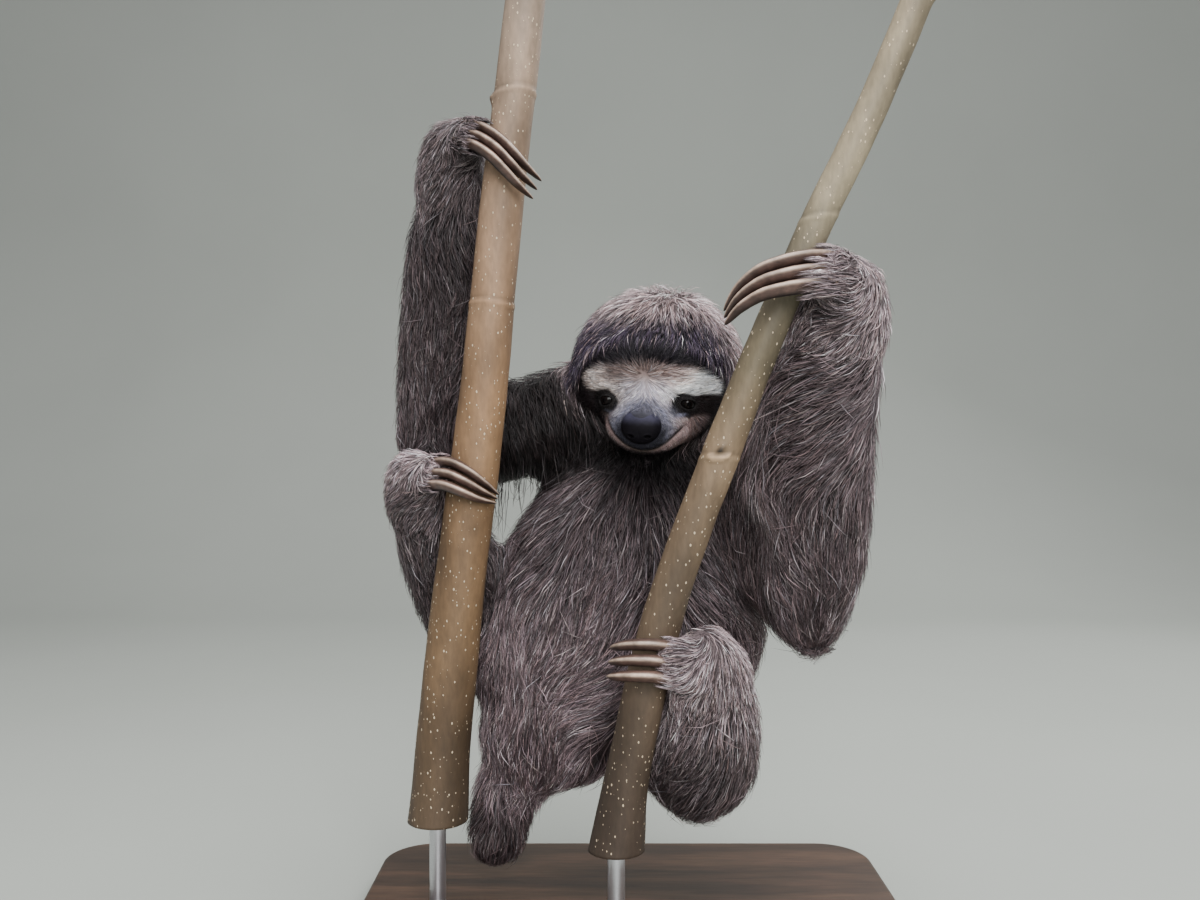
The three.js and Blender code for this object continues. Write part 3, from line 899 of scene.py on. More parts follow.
# The shares of tufts that are dim, pale, stray and, on the head, as pale as the crown.
DIM_SHARE, PALE_SHARE, STRAY_SHARE, LOOSE_SHARE = 0.4, 0.19, 0.05, 0.1


def grow(lay, flow, roots, faces, lengths, angles, bends, lifts):
    """Walks each tuft over the skin along the lie of the coat: four points and their normals."""
    spots, paths, normals = roots, [], []
    for step in range(4):
        normal = lay.normal[faces]
        rise = lifts * LIFT_SHARES[step]
        paths.append(spots + normal * rise[:, None] * MM)
        normals.append(normal)
        if step < 3:
            way = turned(flow[faces], normal, angles + bends * step)
            spots, faces = lay.nearest(spots + way * lengths[:, None] * MM / 3)
    return np.stack(paths, 1), np.stack(normals, 1)


def off_stems(paths):
    """Tufts that would run into a stem, laid over its bark instead."""
    for stations in STEMS.values():
        fine = curve(stations, 200)
        x, y, radius = (np.interp(paths[..., 2] / MM, fine[:, 2], fine[:, i]) for i in (0, 1, 3))
        centre = np.stack([x, y], -1) * MM
        off = paths[..., :2] - centre
        push = np.maximum((radius + BARK_GAP) * MM / np.maximum(np.linalg.norm(off, axis=-1), MM), 1)
        paths[..., :2] = centre + off * push[..., None]
    return paths


def clumped(paths, spacing, pull):
    """Draws tufts towards the nearest of some guides among them, most at their tips."""
    guides = np.flatnonzero(RNG.random(len(paths)) < 1 / spacing)
    tree = KDTree(len(guides))
    for i, g in enumerate(guides):
        tree.insert(paths[g, 1], i)
    tree.balance()
    near = guides[[tree.find(p)[1] for p in paths[:, 1].tolist()]]
    amount = CLUMP_SHARES[None] * pull[:, None]
    return mixed(paths, paths[near], amount)


def shades(tone, strength, gain=0.88):
    """Colours of each tuft from root to tip: dark near the skin, partly as painted shade deep in the coat,
    and some strands much paler and greyer.
    """
    count = len(tone)
    if tone.ndim == 2:
        tone = np.repeat(tone[:, None], 4, 1)
    level = gain * np.exp(RNG.normal(0, 0.36, count) * (0.5 + 0.5 * strength))
    level = level * np.where(RNG.random(count) < DIM_SHARE, 1 - 0.62 * strength, 1.05)
    pale = (RNG.random(count) < PALE_SHARE)[:, None, None]
    grey = tone.mean(-1, keepdims=True) * [1.02, 0.99, 0.99]
    tone = np.where(pale, tone + (grey - tone) * 0.6, tone)
    level = level[:, None, None] * np.where(pale, 1 + strength, 1)
    steps = 1 + (TIP_LEVELS - 1) * strength
    warm = 1 + RNG.normal(0, 0.035, (count, 1)) * np.array([[1.0, 0, -1.0]])
    return np.clip(tone * level * steps[None, :, None] * warm[:, None], 0, 1)


# Where the hair stands out, in millimetres, and how much: at the elbows and a knee, where it meets in a
# tuft, and where a limb lies against a stem. Then how far that tells round each, and round the whorl.
BUSHY = np.array([
    (103, -20, 182, 0.9), (-119, 50, 276, 0.55), (45, -52, 106, 0.6), (72, -58, 308, 1),
    (76, -60, 332, 1.2), (74, -44, 322, 1.2), (81, -62, 346, 1), (-90, -8, 469, 1.2), (-90, 8, 466, 1),
])
BUSHY_REACH, WHORL_REACH = 17, 12


def coat_piece(name, *parts):
    """A piece of the coat, from what tuft_mesh asks for."""
    return finished(new_object(name, tuft_mesh(name, *parts)), "coat")


def body_coat(lay, name, weight, count):
    """The long coat of one part of the body, in tufts that lie along its strokes."""
    roots, faces, spots = lay.sample(weight, count)
    lengths = lay.length[faces] * RNG.uniform(0.62, 1.18, count)
    stray = RNG.random(count) < STRAY_SHARE
    angles = wander(roots, 38, 5.5) * 0.25 + RNG.normal(0, 0.12, count)
    angles += np.where(stray, RNG.normal(0, 0.5, count), 0)
    whorl = hump(np.linalg.norm(in_head(roots) - WHORL, axis=1), 0, WHORL_REACH)
    angles += whorl * RNG.normal(0, 2.2, count)
    bends = wander(roots, 60, 9.5) * 0.1 + RNG.normal(0, 0.09, count)
    lifts = lay.depth[faces] * np.sqrt(RNG.uniform(0.12, 1.0, count)) * np.where(stray, 1.3, 1.0)
    apart = np.linalg.norm(roots[:, None] / MM - BUSHY[:, :3], axis=2)
    bushy = sum(much * hump(off, 0, BUSHY_REACH) for off, much in zip(apart.T, BUSHY[:, 3]))
    lengths = lengths * (1 + 0.4 * bushy) * (1 - 0.2 * smooth(0.0, 0.3, lay.bare[faces]))
    lifts = lifts * (1 + bushy + 0.5 * whorl)
    lifts = lifts * (1 - 0.45 * smooth(0.0, 0.3, lay.bare[faces]))
    paths, normals = grow(lay, lay.flow, roots, faces, lengths, angles, bends, lifts)
    loose = (lay.node[faces] == HEAD_NODE) & (RNG.random(count) < LOOSE_SHARE)
    tone = np.where(loose[:, None], HAIR["crown"], lay.tone[faces])
    paths = off_stems(clumped(paths, 6, np.where(stray, 0, RNG.uniform(0.1, 0.55, count))))
    tones = shades(tone, 1.0)
    widths = lay.width[faces] * RNG.uniform(0.7, 1.2, count) * MM
    return coat_piece(name, paths, normals, widths, tones, spots)


def face_coat(lay, name, weight, count):
    """The short coat of the face, which grows finer towards the nose, the eyes and the mouth."""
    roots, faces, spots = lay.sample(weight, count)
    local = in_head(roots)
    nose = np.maximum(oval(local, 0, NOSE_UP, NOSE_HALF[0], NOSE_HALF[2]) - 1, 0) * 11
    eye = np.minimum(*[np.maximum(opening(in_eye(roots, one)) - 1, 0) * 4 for one in EYES.values()])
    mouth = np.abs(above_mouth(local)) + np.maximum(np.abs(local[:, 0]) - 21, 0)
    fringe = 2.6 * smooth(-24, -18, local[:, 2])
    edge = np.minimum(np.minimum(nose * 0.5 + 1.8 + fringe, eye * 0.9 + 0.9), mouth * 0.6 + 1.1)
    band = smooth(5, 13, local[:, 2])
    lengths = np.minimum(9.0 + 4 * band, edge) * RNG.uniform(0.7, 1.2, count)
    keep = (eye > 0.35) & (mouth > 0.5) & ((nose > 0) | (local[:, 1] < 44))
    roots, faces, spots, lengths, band = (values[keep] for values in (roots, faces, spots, lengths, band))
    count = len(roots)
    angles = wander(roots, 90, 2.5) * 0.18 + RNG.normal(0, 0.12, count)
    bends = RNG.normal(0, 0.08, count)
    lifts = np.minimum(lengths * 0.28, 2.4 + 1.6 * band) * RNG.uniform(0.5, 1.1, count)
    paths, normals = grow(lay, lay.short_flow, roots, faces, lengths, angles, bends, lifts)
    paths = clumped(paths, 4, RNG.uniform(0.1, 0.5, count))
    under = face_colour(in_head(paths.reshape(-1, 3))).reshape(-1, 4, 3)
    tones = shades(mixed(under[:, 1:2], under, np.array([0.55])), 0.4, 1.12)
    widths = np.interp(lengths, [1, 9], [0.26, 0.42]) * RNG.uniform(0.8, 1.2, count) * MM
    return coat_piece(name, paths, normals, widths, tones, spots)


def wisps(lay, name, weight, count):
    """Long single hairs that hang free below a limb, without those that would run into the body."""
    roots, faces, spots = lay.sample(weight, count)
    lengths = RNG.uniform(16, 52, count)[:, None] * MM
    drift = RNG.normal(0, 0.16, (2, count, 3))
    fall = unit(np.array([0, 0, -1]) + drift[0] + 0.3 * lay.flow[faces])
    normal = lay.normal[faces]
    paths = [roots - normal * MM, roots + (fall * 0.35 + drift[1] * 0.1) * lengths + normal * 3 * MM]
    paths += [roots + fall * 0.7 * lengths + normal * 4 * MM]
    paths += [roots + (fall + drift[1] * 0.9) * lengths + normal * 3 * MM]
    normals = np.broadcast_to([0, -1.0, 0], (count, 4, 3))
    widths = RNG.uniform(0.35, 0.5, count) * MM
    tones = shades(lay.tone[faces] * 2.1, 0.7)
    paths = off_stems(np.stack(paths, 1))
    free = paths[:, 1:].reshape(-1, 3)
    places, below = lay.nearest(free)
    clear = (((free - places) * lay.normal[below]).sum(1) > 0).reshape(count, 3).all(1)
    return coat_piece(name, *(values[clear] for values in (paths, normals, widths, tones, spots)))


# How many tufts there are: a share of each part's density, and the numbers for the other pieces.
COAT_SHARE = 0.96
FACE_TUFTS = 16500
WISPS = 240
CUFF_TUFTS = 100


def cuffs(lay, name):
    """Fur round each claw's root, which lies along the claw and hides where it leaves the paw."""
    paths, normals = [], []
    for paw, claw in CLAWS.items():
        deep, wide = claw["half"]
        for number, cover in zip((1, 2, 3), claw["covers"]):
            spine, _ = claw_spine(paw, number)
            along = np.concatenate([[0], np.cumsum(np.linalg.norm(np.diff(spine, axis=0), axis=1))])
            count = CUFF_TUFTS + 12 * cover
            lengths = RNG.uniform(9, 13, count) * (1 + cover / 50)
            ends = CLAW_BURIED + cover - RNG.uniform(0, 1, count) ** 1.4 * (cover + 4)
            turns = RNG.uniform(0, 2 * math.pi, count)
            bulk = (0.7 + cover / 40) * RNG.uniform(0.5, 1.1, count)[:, None]
            rows, outs = [], []
            for step, rise in enumerate((-0.5, 1.2, 2.1, 1.9)):
                at = np.maximum(ends - lengths * (1 - step / 3), step)
                centre, way = (np.stack([np.interp(at, along, v[:, i]) for i in range(3)], 1)
                               for v in (spine, unit(np.gradient(spine, axis=0))))
                side = unit(np.cross(way, [0.0, 0.0, 1.0]))
                turn = (turns + RNG.normal(0, 0.1, count))[:, None]
                out = side * np.cos(turn) + np.cross(side, way) * np.sin(turn)
                radius = np.hypot(wide * np.sin(turn), deep * np.cos(turn)) + rise * bulk
                rows.append((centre + out * radius) * MM)
                outs.append(out)
            paths.append(np.stack(rows, 1))
            normals.append(np.stack(outs, 1))
    paths, normals = np.concatenate(paths), np.concatenate(normals)
    faces = lay.nearest(paths[:, 0])[1]
    widths = RNG.uniform(0.5, 0.75, len(paths)) * MM
    tones = shades(lay.tone[faces], 0.9)
    return coat_piece(name, off_stems(paths), normals, widths, tones, lay.uv[faces].mean(1))


# Where the coat's pieces part: how bare the face is, the height between the upper and the lower back in
# millimetres, and how far down the underside of a limb faces.
BARE_SHARE = 0.35
BACK_MIDDLE = 195
UNDERSIDE = -0.35
SQUARE_CENTIMETRES = 1e4


def make_coat(lay):
    """The whole coat, in pieces of one part of the body each."""
    kinds = KINDS[lay.node]
    sides = np.array([node.endswith("_left") for node in FLESH])[lay.node]
    bare = lay.bare > BARE_SHARE
    front = lay.normal[:, 1] < 0
    high = lay.corners[:, 0, 2] > BACK_MIDDLE * MM
    groups = {
        "coat_crown": (kinds == "head") & ~bare,
        "coat_neck": kinds == "neck",
        "coat_belly": (kinds == "trunk") & front,
        "coat_upper_back": (kinds == "trunk") & ~front & high,
        "coat_lower_back": ((kinds == "trunk") & ~front & ~high) | (kinds == "tail"),
    }
    for side, named in ((False, "right"), (True, "left")):
        limb = sides == side
        groups[f"coat_upper_arm_{named}"] = limb & (kinds == "upper_arm")
        groups[f"coat_forearm_{named}"] = limb & (kinds == "forearm")
        groups[f"coat_leg_{named}"] = limb & np.isin(kinds, ("thigh", "lower_leg"))
        groups[f"coat_paws_{named}"] = limb & np.isin(kinds, ("hand", "foot"))
    pieces = []
    for name, here in groups.items():
        count = int((lay.density * lay.area)[here].sum() * SQUARE_CENTIMETRES * COAT_SHARE)
        pieces.append(body_coat(lay, name, lay.density * here, count))
    pieces.append(face_coat(lay, "coat_face", bare * 1.0, int(FACE_TUFTS * COAT_SHARE)))
    below = groups["coat_upper_arm_right"] & (lay.normal[:, 2] < UNDERSIDE)
    pieces.append(wisps(lay, "coat_wisps", below * 1.0, WISPS))
    pieces.append(cuffs(lay, "coat_cuffs"))
    return pieces


# ---------------------------------------------------------------- tubes
def curve(stations, count):
    """A smooth run of rows through stations, evenly from the first to the last."""
    rows = np.array(stations, float)
    rows = np.vstack([2 * rows[0] - rows[1], rows, 2 * rows[-1] - rows[-2]])
    at = np.linspace(0, len(stations) - 1, count)
    first = np.minimum(at.astype(int), len(stations) - 2)
    t = (at - first)[:, None]
    a, b, c, d = (rows[first + i] for i in range(4))
    cubic = (3 * b - a - 3 * c + d) * t ** 3 + (2 * a - 5 * b + 4 * c - d) * t ** 2 + (c - a) * t + 2 * b
    return cubic / 2


def tube_mesh(name, rings, tones):
    """A closed surface over rows of rings, each end drawn in to the middle of its ring."""
    rows, columns = rings.shape[:2]
    index = np.arange(rows * columns).reshape(rows, columns)
    after = np.roll(index, -1, axis=1)
    a, b, c, d = index[:-1], after[:-1], after[1:], index[1:]
    start, end = np.full(columns, rows * columns), np.full(columns, rows * columns + 1)
    faces = [np.stack(f, -1).reshape(-1, 3) for f in ((a, b, c), (a, c, d))]
    faces += [np.stack(f, -1) for f in ((start, after[0], index[0]), (end, index[-1], after[-1]))]
    faces = np.vstack(faces)
    points = np.vstack([rings.reshape(-1, 3), rings[0].mean(0), rings[-1].mean(0)])
    colours = np.vstack([tones.reshape(-1, 3), tones[0].mean(0), tones[-1].mean(0)])
    corners = points[faces]
    volume = (np.cross(corners[:, 0], corners[:, 1]) * corners[:, 2]).sum()
    if volume < 0:
        faces = faces[:, ::-1]
    return mesh_from(name, points, faces, colours)


def around(columns):
    """The cosines, the sines and the angles of even turns about a ring."""
    turns = np.linspace(0, 2 * math.pi, columns, endpoint=False)
    return np.cos(turns), np.sin(turns), turns


def both_ways(turns):
    """Turns about a ring as angles of up to half a turn either way."""
    return (turns + math.pi) % (2 * math.pi) - math.pi


# ---------------------------------------------------------------- eyes
EYE_TONES = {
    "pupil": paint(4, 3, 4), "iris": paint(15, 10, 9), "rim": paint(8, 6, 6), "white": paint(14, 10, 10),
}
CORNEA_BULGE = 0.25
EYE_ROWS, EYE_COLUMNS = 56, 48


def make_eye(node, eye):
    """An eyeball with a bulging cornea, toned in rings out from the pupil."""
    centre, axes = eye
    tilts = np.radians(np.linspace(1.5, 178.5, EYE_ROWS))[:, None]
    cos, sin, _ = around(EYE_COLUMNS)
    radius = EYE_RADIUS + CORNEA_BULGE * smooth(38, 22, np.degrees(tilts))
    away = radius * np.sin(tilts)
    out = np.broadcast_to(radius * np.cos(tilts), (EYE_ROWS, EYE_COLUMNS))
    ball = np.stack([away * cos, out, away * sin], -1)
    angle = np.degrees(tilts) + 0 * cos
    tones = mixed(EYE_TONES["pupil"][None, None], EYE_TONES["iris"], smooth(13, 17, angle))
    tones = mixed(tones, EYE_TONES["rim"], smooth(25, 33, angle))
    tones = mixed(tones, EYE_TONES["white"], smooth(42, 58, angle))
    mesh = tube_mesh(node + "_ball", centre + ball @ axes * MM, tones)
    return finished(new_object(node + "_ball", mesh), "eyes", node)


# ---------------------------------------------------------------- nose
# In millimetres: half the nose's width, depth and height, and a nostril's place from its middle.
NOSE_HALF = (12.1, 8.6, 10.4)
NOSTRIL = (5.0, -5.2)
NOSE_ROWS, NOSE_COLUMNS = 90, 120
# The pad's top is paler partly as its own blend into the grey hair and partly as painted sheen.
NOSE_TONES = {"pad": paint(13, 11, 15), "top": paint(46, 45, 59), "hole": paint(3, 2, 3)}


def make_nose():
    """A low pad with two small nostrils and a groove between them, paler at its top with painted sheen."""
    tilts = np.radians(np.linspace(1.5, 150, NOSE_ROWS))[:, None]
    cos, sin, _ = around(NOSE_COLUMNS)
    half_wide, half_deep, half_high = NOSE_HALF
    a = half_wide * np.sin(tilts) * cos
    u = half_high * np.sin(tilts) * sin
    f = half_deep * np.sign(np.cos(tilts)) * np.abs(np.cos(tilts)) ** 0.8 + 0 * cos
    front = smooth(0, 4, f)
    hole = np.hypot((np.abs(a) - NOSTRIL[0] - 0.25 * (u - NOSTRIL[1])) / 1.2, (u - NOSTRIL[1]) / 0.7)
    f = f - 1.8 * np.exp(-((hole / 1.25) ** 4)) * front
    f = f + 0.15 * np.exp(-(((hole - 2.2) / 0.8) ** 2)) * front
    groove = np.exp(-((a / 0.8) ** 2)) * smooth(-1, -4, u) * front
    f = f - 0.45 * groove
    f = f - 0.05 * np.maximum(u - 1, 0) ** 2 * front
    # Painted sheen: the pad's top paler, as well as its own blend into the grey hair above.
    tones = mixed(NOSE_TONES["pad"][None, None], NOSE_TONES["top"], smooth(0.5, 8, u))
    # Painted shade inside the nostrils.
    tones = mixed(tones, NOSE_TONES["hole"], np.exp(-((hole / 1.4) ** 4)) * front)
    local = np.stack([a, f + NOSE_FORWARD - 0.6, u + NOSE_UP], -1)
    mesh = tube_mesh("nose_pad", from_head(local), tones)
    return finished(new_object("nose_pad", mesh), "nose", "nose")


# ---------------------------------------------------------------- claws
# For each paw in millimetres: its middle claw's path, from its root over the stem to its tip; the step from
# that claw up to the first and down to the third, and the share of the step left at the tips; a claw's half
# depth and half width at its root; and how far fur hides the first, the second and the third.
CLAWS = {
    "hand_right": {
        "path": [
            (-94, -30, 482.5), (-86, -43, 477.5), (-77, -50.5, 470), (-69.5, -51.5, 462),
            (-62.5, -47.5, 455), (-54.5, -38, 449),
        ],
        "step": (2.3, 1.6, 5.4), "tip_share": 1, "half": (5, 2.95), "covers": (20, 18, 20),
    },
    "hand_left": {
        "path": [
            (105, -92, 391.5), (97, -103, 392.5), (86, -108, 392), (74, -109, 390), (62, -107, 386.5),
            (52, -101, 379.5), (45, -93, 370),
        ],
        "step": (0, 3.5, 7.8), "tip_share": 0.5, "half": (5.2, 3.8), "covers": (23, 30, 35),
    },
    "foot_right": {
        "path": [
            (-116, -18, 288.5), (-106, -30, 288.5), (-96.5, -33.5, 284.5), (-87.5, -30, 279),
            (-78.5, -20, 273.5),
        ],
        "step": (1.6, 2.5, 6.6), "tip_share": 0.35, "half": (4.3, 3), "covers": (10, 10, 11),
    },
    "foot_left": {
        "path": [(21, -74, 188), (10, -78, 190.5), (-2, -76.5, 190.5), (-10, -69, 188.5), (-14, -60, 186)],
        "step": (1, 2.5, 8), "tip_share": 0.9, "half": (4.3, 3.4), "covers": (10, 11, 12),
    },
}
# How far a claw's root is buried in its paw, in millimetres.
CLAW_BURIED = 8
CLAW_ROWS, CLAW_COLUMNS = 90, 28
# The dark belly is painted shade under each claw; the pale ridge is partly a painted highlight.
CLAW_TONES = {
    "ridge": paint(172, 150, 134), "flank": paint(74, 56, 50), "belly": paint(30, 21, 19),
    "root": paint(98, 80, 70), "tip": paint(38, 28, 25),
}


def claw_spine(paw, number):
    """A claw's middle from its buried root to its tip, in millimetres, and how far along each row is."""
    claw = CLAWS[paw]
    last = len(claw["path"]) - 1
    share = 1 - (1 - claw["tip_share"]) * (np.arange(last + 1) / last) ** 3
    points = np.array(claw["path"], float) + np.array(claw["step"], float) * (2 - number) * share[:, None]
    root = points[0] + unit(points[0] - points[1]) * CLAW_BURIED
    return curve([root, *points], CLAW_ROWS), np.linspace(-1 / last, 1, CLAW_ROWS)


def make_claw(paw, number):
    """A curved claw with a ridge along its back, a groove beneath and fine growth rings across it."""
    step, (deep, wide) = CLAWS[paw]["step"], CLAWS[paw]["half"]
    spine, run = claw_spine(paw, number)
    taper = np.sqrt(np.clip(1 - np.maximum(run, 0) ** 2.2, 0, 1))
    taper = np.maximum(taper, 0.05)
    along = unit(np.gradient(spine, axis=0))
    back = unit(np.cross(along, unit(np.array(step, float))))
    if back[CLAW_ROWS // 2] @ np.array([0, -1, 0.4]) < 0:
        back = -back
    side = np.cross(along, back)
    cos, sin, turns = around(CLAW_COLUMNS)
    turns = both_ways(turns)
    ridge = hump(turns, 0, 0.34)
    under = hump(np.abs(turns), math.pi, 0.5)
    out = cos + 0.05 * ridge + 0.16 * under
    aside = sin * (1 - 0.24 * cos)
    rings = 1 + 0.008 * np.sin(run * 75 + noise.noise((number, deep, 1)) * 9) + 0.006 * np.sin(run * 41)
    size = (taper * rings)[:, None, None]
    body = back[:, None] * out[None, :, None] * deep + side[:, None] * aside[None, :, None] * wide
    body = spine[:, None] + body * size
    height = (cos + 1) / 2 + 0 * run[:, None]
    # Painted shade on each claw's underside, the belly.
    tones = mixed(CLAW_TONES["belly"][None, None], CLAW_TONES["flank"], smooth(0.35, 0.75, height))
    # The pale ridge: partly its own colour, partly a painted highlight along the top.
    tones = mixed(tones, CLAW_TONES["ridge"], smooth(0.93, 0.995, height) * 0.9)
    at_root = smooth(0.5, 0.05, run)[:, None] * smooth(0.4, 0.8, height)
    tones = mixed(tones, CLAW_TONES["root"], at_root * 0.4)
    at_tip = smooth(0.55, 0.92, run)[:, None] * smooth(1.05, 0.7, height)
    tones = mixed(tones, CLAW_TONES["tip"], at_tip * 0.75)
    streak = 1 + 0.2 * np.sin(run * 75 + 1.1)[:, None] * smooth(1, 0.3, height)
    streak = streak * (0.76 + 0.12 * number)
    node = f"claw_{paw}_{number}"
    mesh = tube_mesh(node + "_horn", body * MM, tones * streak[..., None])
    return finished(new_object(node + "_horn", mesh), "claws", node)


# ---------------------------------------------------------------- stems
# Stations up each stem in millimetres: its middle, its height and its radius.
STEMS = {
    "stem_right": [
        (-121, 12, 50, 21), (-117, 9, 84, 18.5), (-113, 5, 130, 17), (-104, -3, 212, 16),
        (-88, -16, 331, 14.5), (-75, -28, 446, 13), (-61, -40, 556, 12), (-58, -43, 580, 12),
    ],
    "stem_left": [
        (-13, -38, 50, 19), (-9, -41, 84, 16), (-3, -47, 125, 13), (18, -60, 220, 12), (56, -77, 328, 11),
        (89, -90, 411, 10), (121, -102, 480, 9.4), (153, -116, 562, 9), (161, -120, 585, 9),
    ],
}
STEM_BOTTOM, STEM_TOP = 77, 556
STEM_ROWS, STEM_COLUMNS = 330, 84
# Tones at some heights up each stem, darker towards the bottom.
STEM_TONES = {
    "stem_right": [
        (77, (78, 64, 49)), (200, (115, 91, 65)), (330, (135, 105, 76)), (430, (142, 115, 91)),
        (556, (147, 129, 112)),
    ],
    "stem_left": [
        (77, (68, 56, 46)), (170, (83, 69, 55)), (300, (134, 113, 89)), (345, (110, 99, 78)),
        (400, (120, 111, 91)), (556, (158, 144, 119)),
    ],
}
# Rings left where leaves were: height and how far each stands out.
RING_SCARS = {"stem_right": [(503.5, 0.6), (386, 0.5)], "stem_left": [(421, 0.35), (297.5, 0.25)]}
# A leaf's scar and a bud, each by its arc from the front of the stem, and its height.
LEAF_SCAR = {"stem_left": (-2, 299)}
BUD = {"stem_right": (-17, 501), "stem_left": (12, 529)}
WOOD = {
    "pale": paint(206, 184, 146), "line": paint(160, 130, 92), "pith": paint(116, 84, 56),
    "bark": paint(92, 72, 56),
}


def stem_relief(node, arc, height):
    """How far the bark stands out in millimetres, and how pale it is there, from its arc off the front."""
    relief, pale = 0 * arc, 0 * arc
    for ring, rise in RING_SCARS[node]:
        off = height - ring - 1.2 * np.sin(arc / 9 + ring)
        relief = relief + rise * hump(off, 0, 1.3) - 0.3 * rise * hump(off, 3, 1.2)
        pale = pale + 0.35 * hump(off, 0, 1.0) - 0.3 * hump(off, 2.6, 1.1)
    bud_arc, bud_height = BUD[node]
    bud = hump(np.hypot(arc - bud_arc, (height - bud_height) / 1.3), 0, 2.2)
    relief, pale = relief + 1.8 * bud, pale - 0.5 * bud
    if node in LEAF_SCAR:
        middle_arc, middle_height = LEAF_SCAR[node]
        a, h = arc - middle_arc, height - middle_height
        smile = np.exp(-(((h - 0.045 * a ** 2 + 1.6) / 1.5) ** 4)) * smooth(7.5, 5.5, np.abs(a))
        bud = hump(np.hypot(a, (h - 3.2) / 1.2), 0, 1.9)
        relief = relief + 1.2 * smile + 1.5 * bud
        pale = pale + 0.8 * smile - 0.9 * bud
    return relief, pale


def stem_cut(edge, centre, sign):
    """The rings across a stem's cut end, from the bark in to the pith, and their tones."""
    rings, tones = [], []
    for share in [0.985, 0.94, 0.9, *np.linspace(0.85, 0.04, 16)]:
        ring = centre + (edge - centre) * share
        ring[:, 2] += sign * 0.4 * min(1, (1 - share) * 25)
        rings.append(ring)
        grain = 0.5 + 0.5 * math.sin(share * 42)
        tone = mixed(WOOD["pale"], WOOD["line"], grain * 0.6)
        if share > 0.92:
            tone = WOOD["bark"]
        elif share < 0.14:
            tone = WOOD["pith"]
        tones.append(np.broadcast_to(tone, (len(edge), 3)))
    return np.array(rings), np.array(tones)


def make_stem(node):
    """A length of stem, with its bark, the scars and the bud on it, and its two cut ends."""
    fine = curve(STEMS[node], 600)
    heights = np.linspace(STEM_BOTTOM, STEM_TOP, STEM_ROWS)
    x, y, radius = (np.interp(heights, fine[:, 2], fine[:, i])[:, None] for i in (0, 1, 3))
    turns = both_ways(around(STEM_COLUMNS)[2])
    cos, sin = np.cos(turns), np.sin(turns)
    z = heights[:, None] + 0 * turns
    arc = radius * turns
    relief, pale = stem_relief(node, arc, z)
    places = np.stack([(x + radius * sin) / 30, (y - radius * cos) / 30, z / 70], -1).reshape(-1, 3)
    swell = np.array([noise.fractal(p, 1.0, 2.0, 3) for p in places.tolist()]).reshape(z.shape)
    out = radius - 0.5 + relief + 0.6 * swell
    rings = np.stack([x + out * sin, y - out * cos, z], -1)
    levels, colours = zip(*STEM_TONES[node])
    colours = np.array([paint(*colour) for colour in colours])
    tones = np.stack([np.interp(heights, levels, colours[:, i]) for i in range(3)], -1)
    tones = tones[:, None] * 0.72 * (1 + 0.5 * swell + pale)[..., None]
    middles = np.stack([x[:, 0], y[:, 0], heights], 1)
    low, low_tones = stem_cut(rings[0], middles[0], -1)
    high, high_tones = stem_cut(rings[-1], middles[-1], 1)
    rings = np.concatenate([low[::-1], rings, high])
    tones = np.concatenate([low_tones[::-1], np.clip(tones, 0, 1), high_tones])
    mesh = tube_mesh(node + "_bark", rings * MM, tones)
    return finished(new_object(node + "_bark", mesh), "stems", node)


# ---------------------------------------------------------------- stand
# The stand in millimetres. The collar's profile goes by radius and height.
BASE_SIZE = (340, 284, 16)
BASE_CORNER = 34
BASE_BEVEL = 2.5
ROD_RADIUS = 5
ROD_CHAMFER = 0.6
COLLAR_PROFILE = [
    (5.1, 0), (13.6, 0), (14, 0.4), (14, 3.4), (13.8, 4.2), (13.2, 5), (12.3, 5.7), (11.4, 6), (5.1, 6),
]
STEEL = paint(200, 200, 204)


def bevelled(bm, edges, offset, segments):
    bmesh.ops.bevel(
        bm, geom=edges, offset=offset * MM, segments=segments, affect="EDGES", profile=0.5, material=-1,
    )


def make_base():
    """A board with rounded corners, and a small bevel round its top and bottom."""
    wide, deep, high = BASE_SIZE
    bm = bmesh.new()
    bmesh.ops.create_cube(bm, size=1)
    bmesh.ops.scale(bm, vec=(wide * MM, deep * MM, high * MM), verts=bm.verts)
    bmesh.ops.translate(bm, vec=(0, 0, high * MM / 2), verts=bm.verts)
    upright = [e for e in bm.edges if abs(e.verts[0].co.z - e.verts[1].co.z) > MM]
    bevelled(bm, upright, BASE_CORNER, 16)
    rims = [e for e in bm.edges if abs(e.verts[0].co.z - e.verts[1].co.z) < 0.01 * MM]
    bevelled(bm, rims, BASE_BEVEL, 5)
    mesh = bpy.data.meshes.new("stand_board")
    for face in bm.faces:
        face.smooth = len(face.verts) == 4 and face.calc_area() < 40 * MM * high * MM
    bm.to_mesh(mesh)
    bm.free()
    return finished(new_object("stand_board", mesh), "stand_wood", "stand_base")


def turned_piece(name, node, profile):
    """A turned metal piece about the upright middle of a CAD node: radius and height in millimetres."""
    low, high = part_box(node)
    profile = np.array(profile, float)
    cos, sin, _ = around(48)
    radius, height = profile[:, :1], profile[:, 1:]
    rings = np.stack([radius * cos, radius * sin, height + 0 * cos], -1) * MM
    rings += [(low.x + high.x) / 2, (low.y + high.y) / 2, low.z]
    tones = np.broadcast_to(STEEL, rings.shape)
    return finished(new_object(name, tube_mesh(name, rings, tones)), "stand_metal", node)


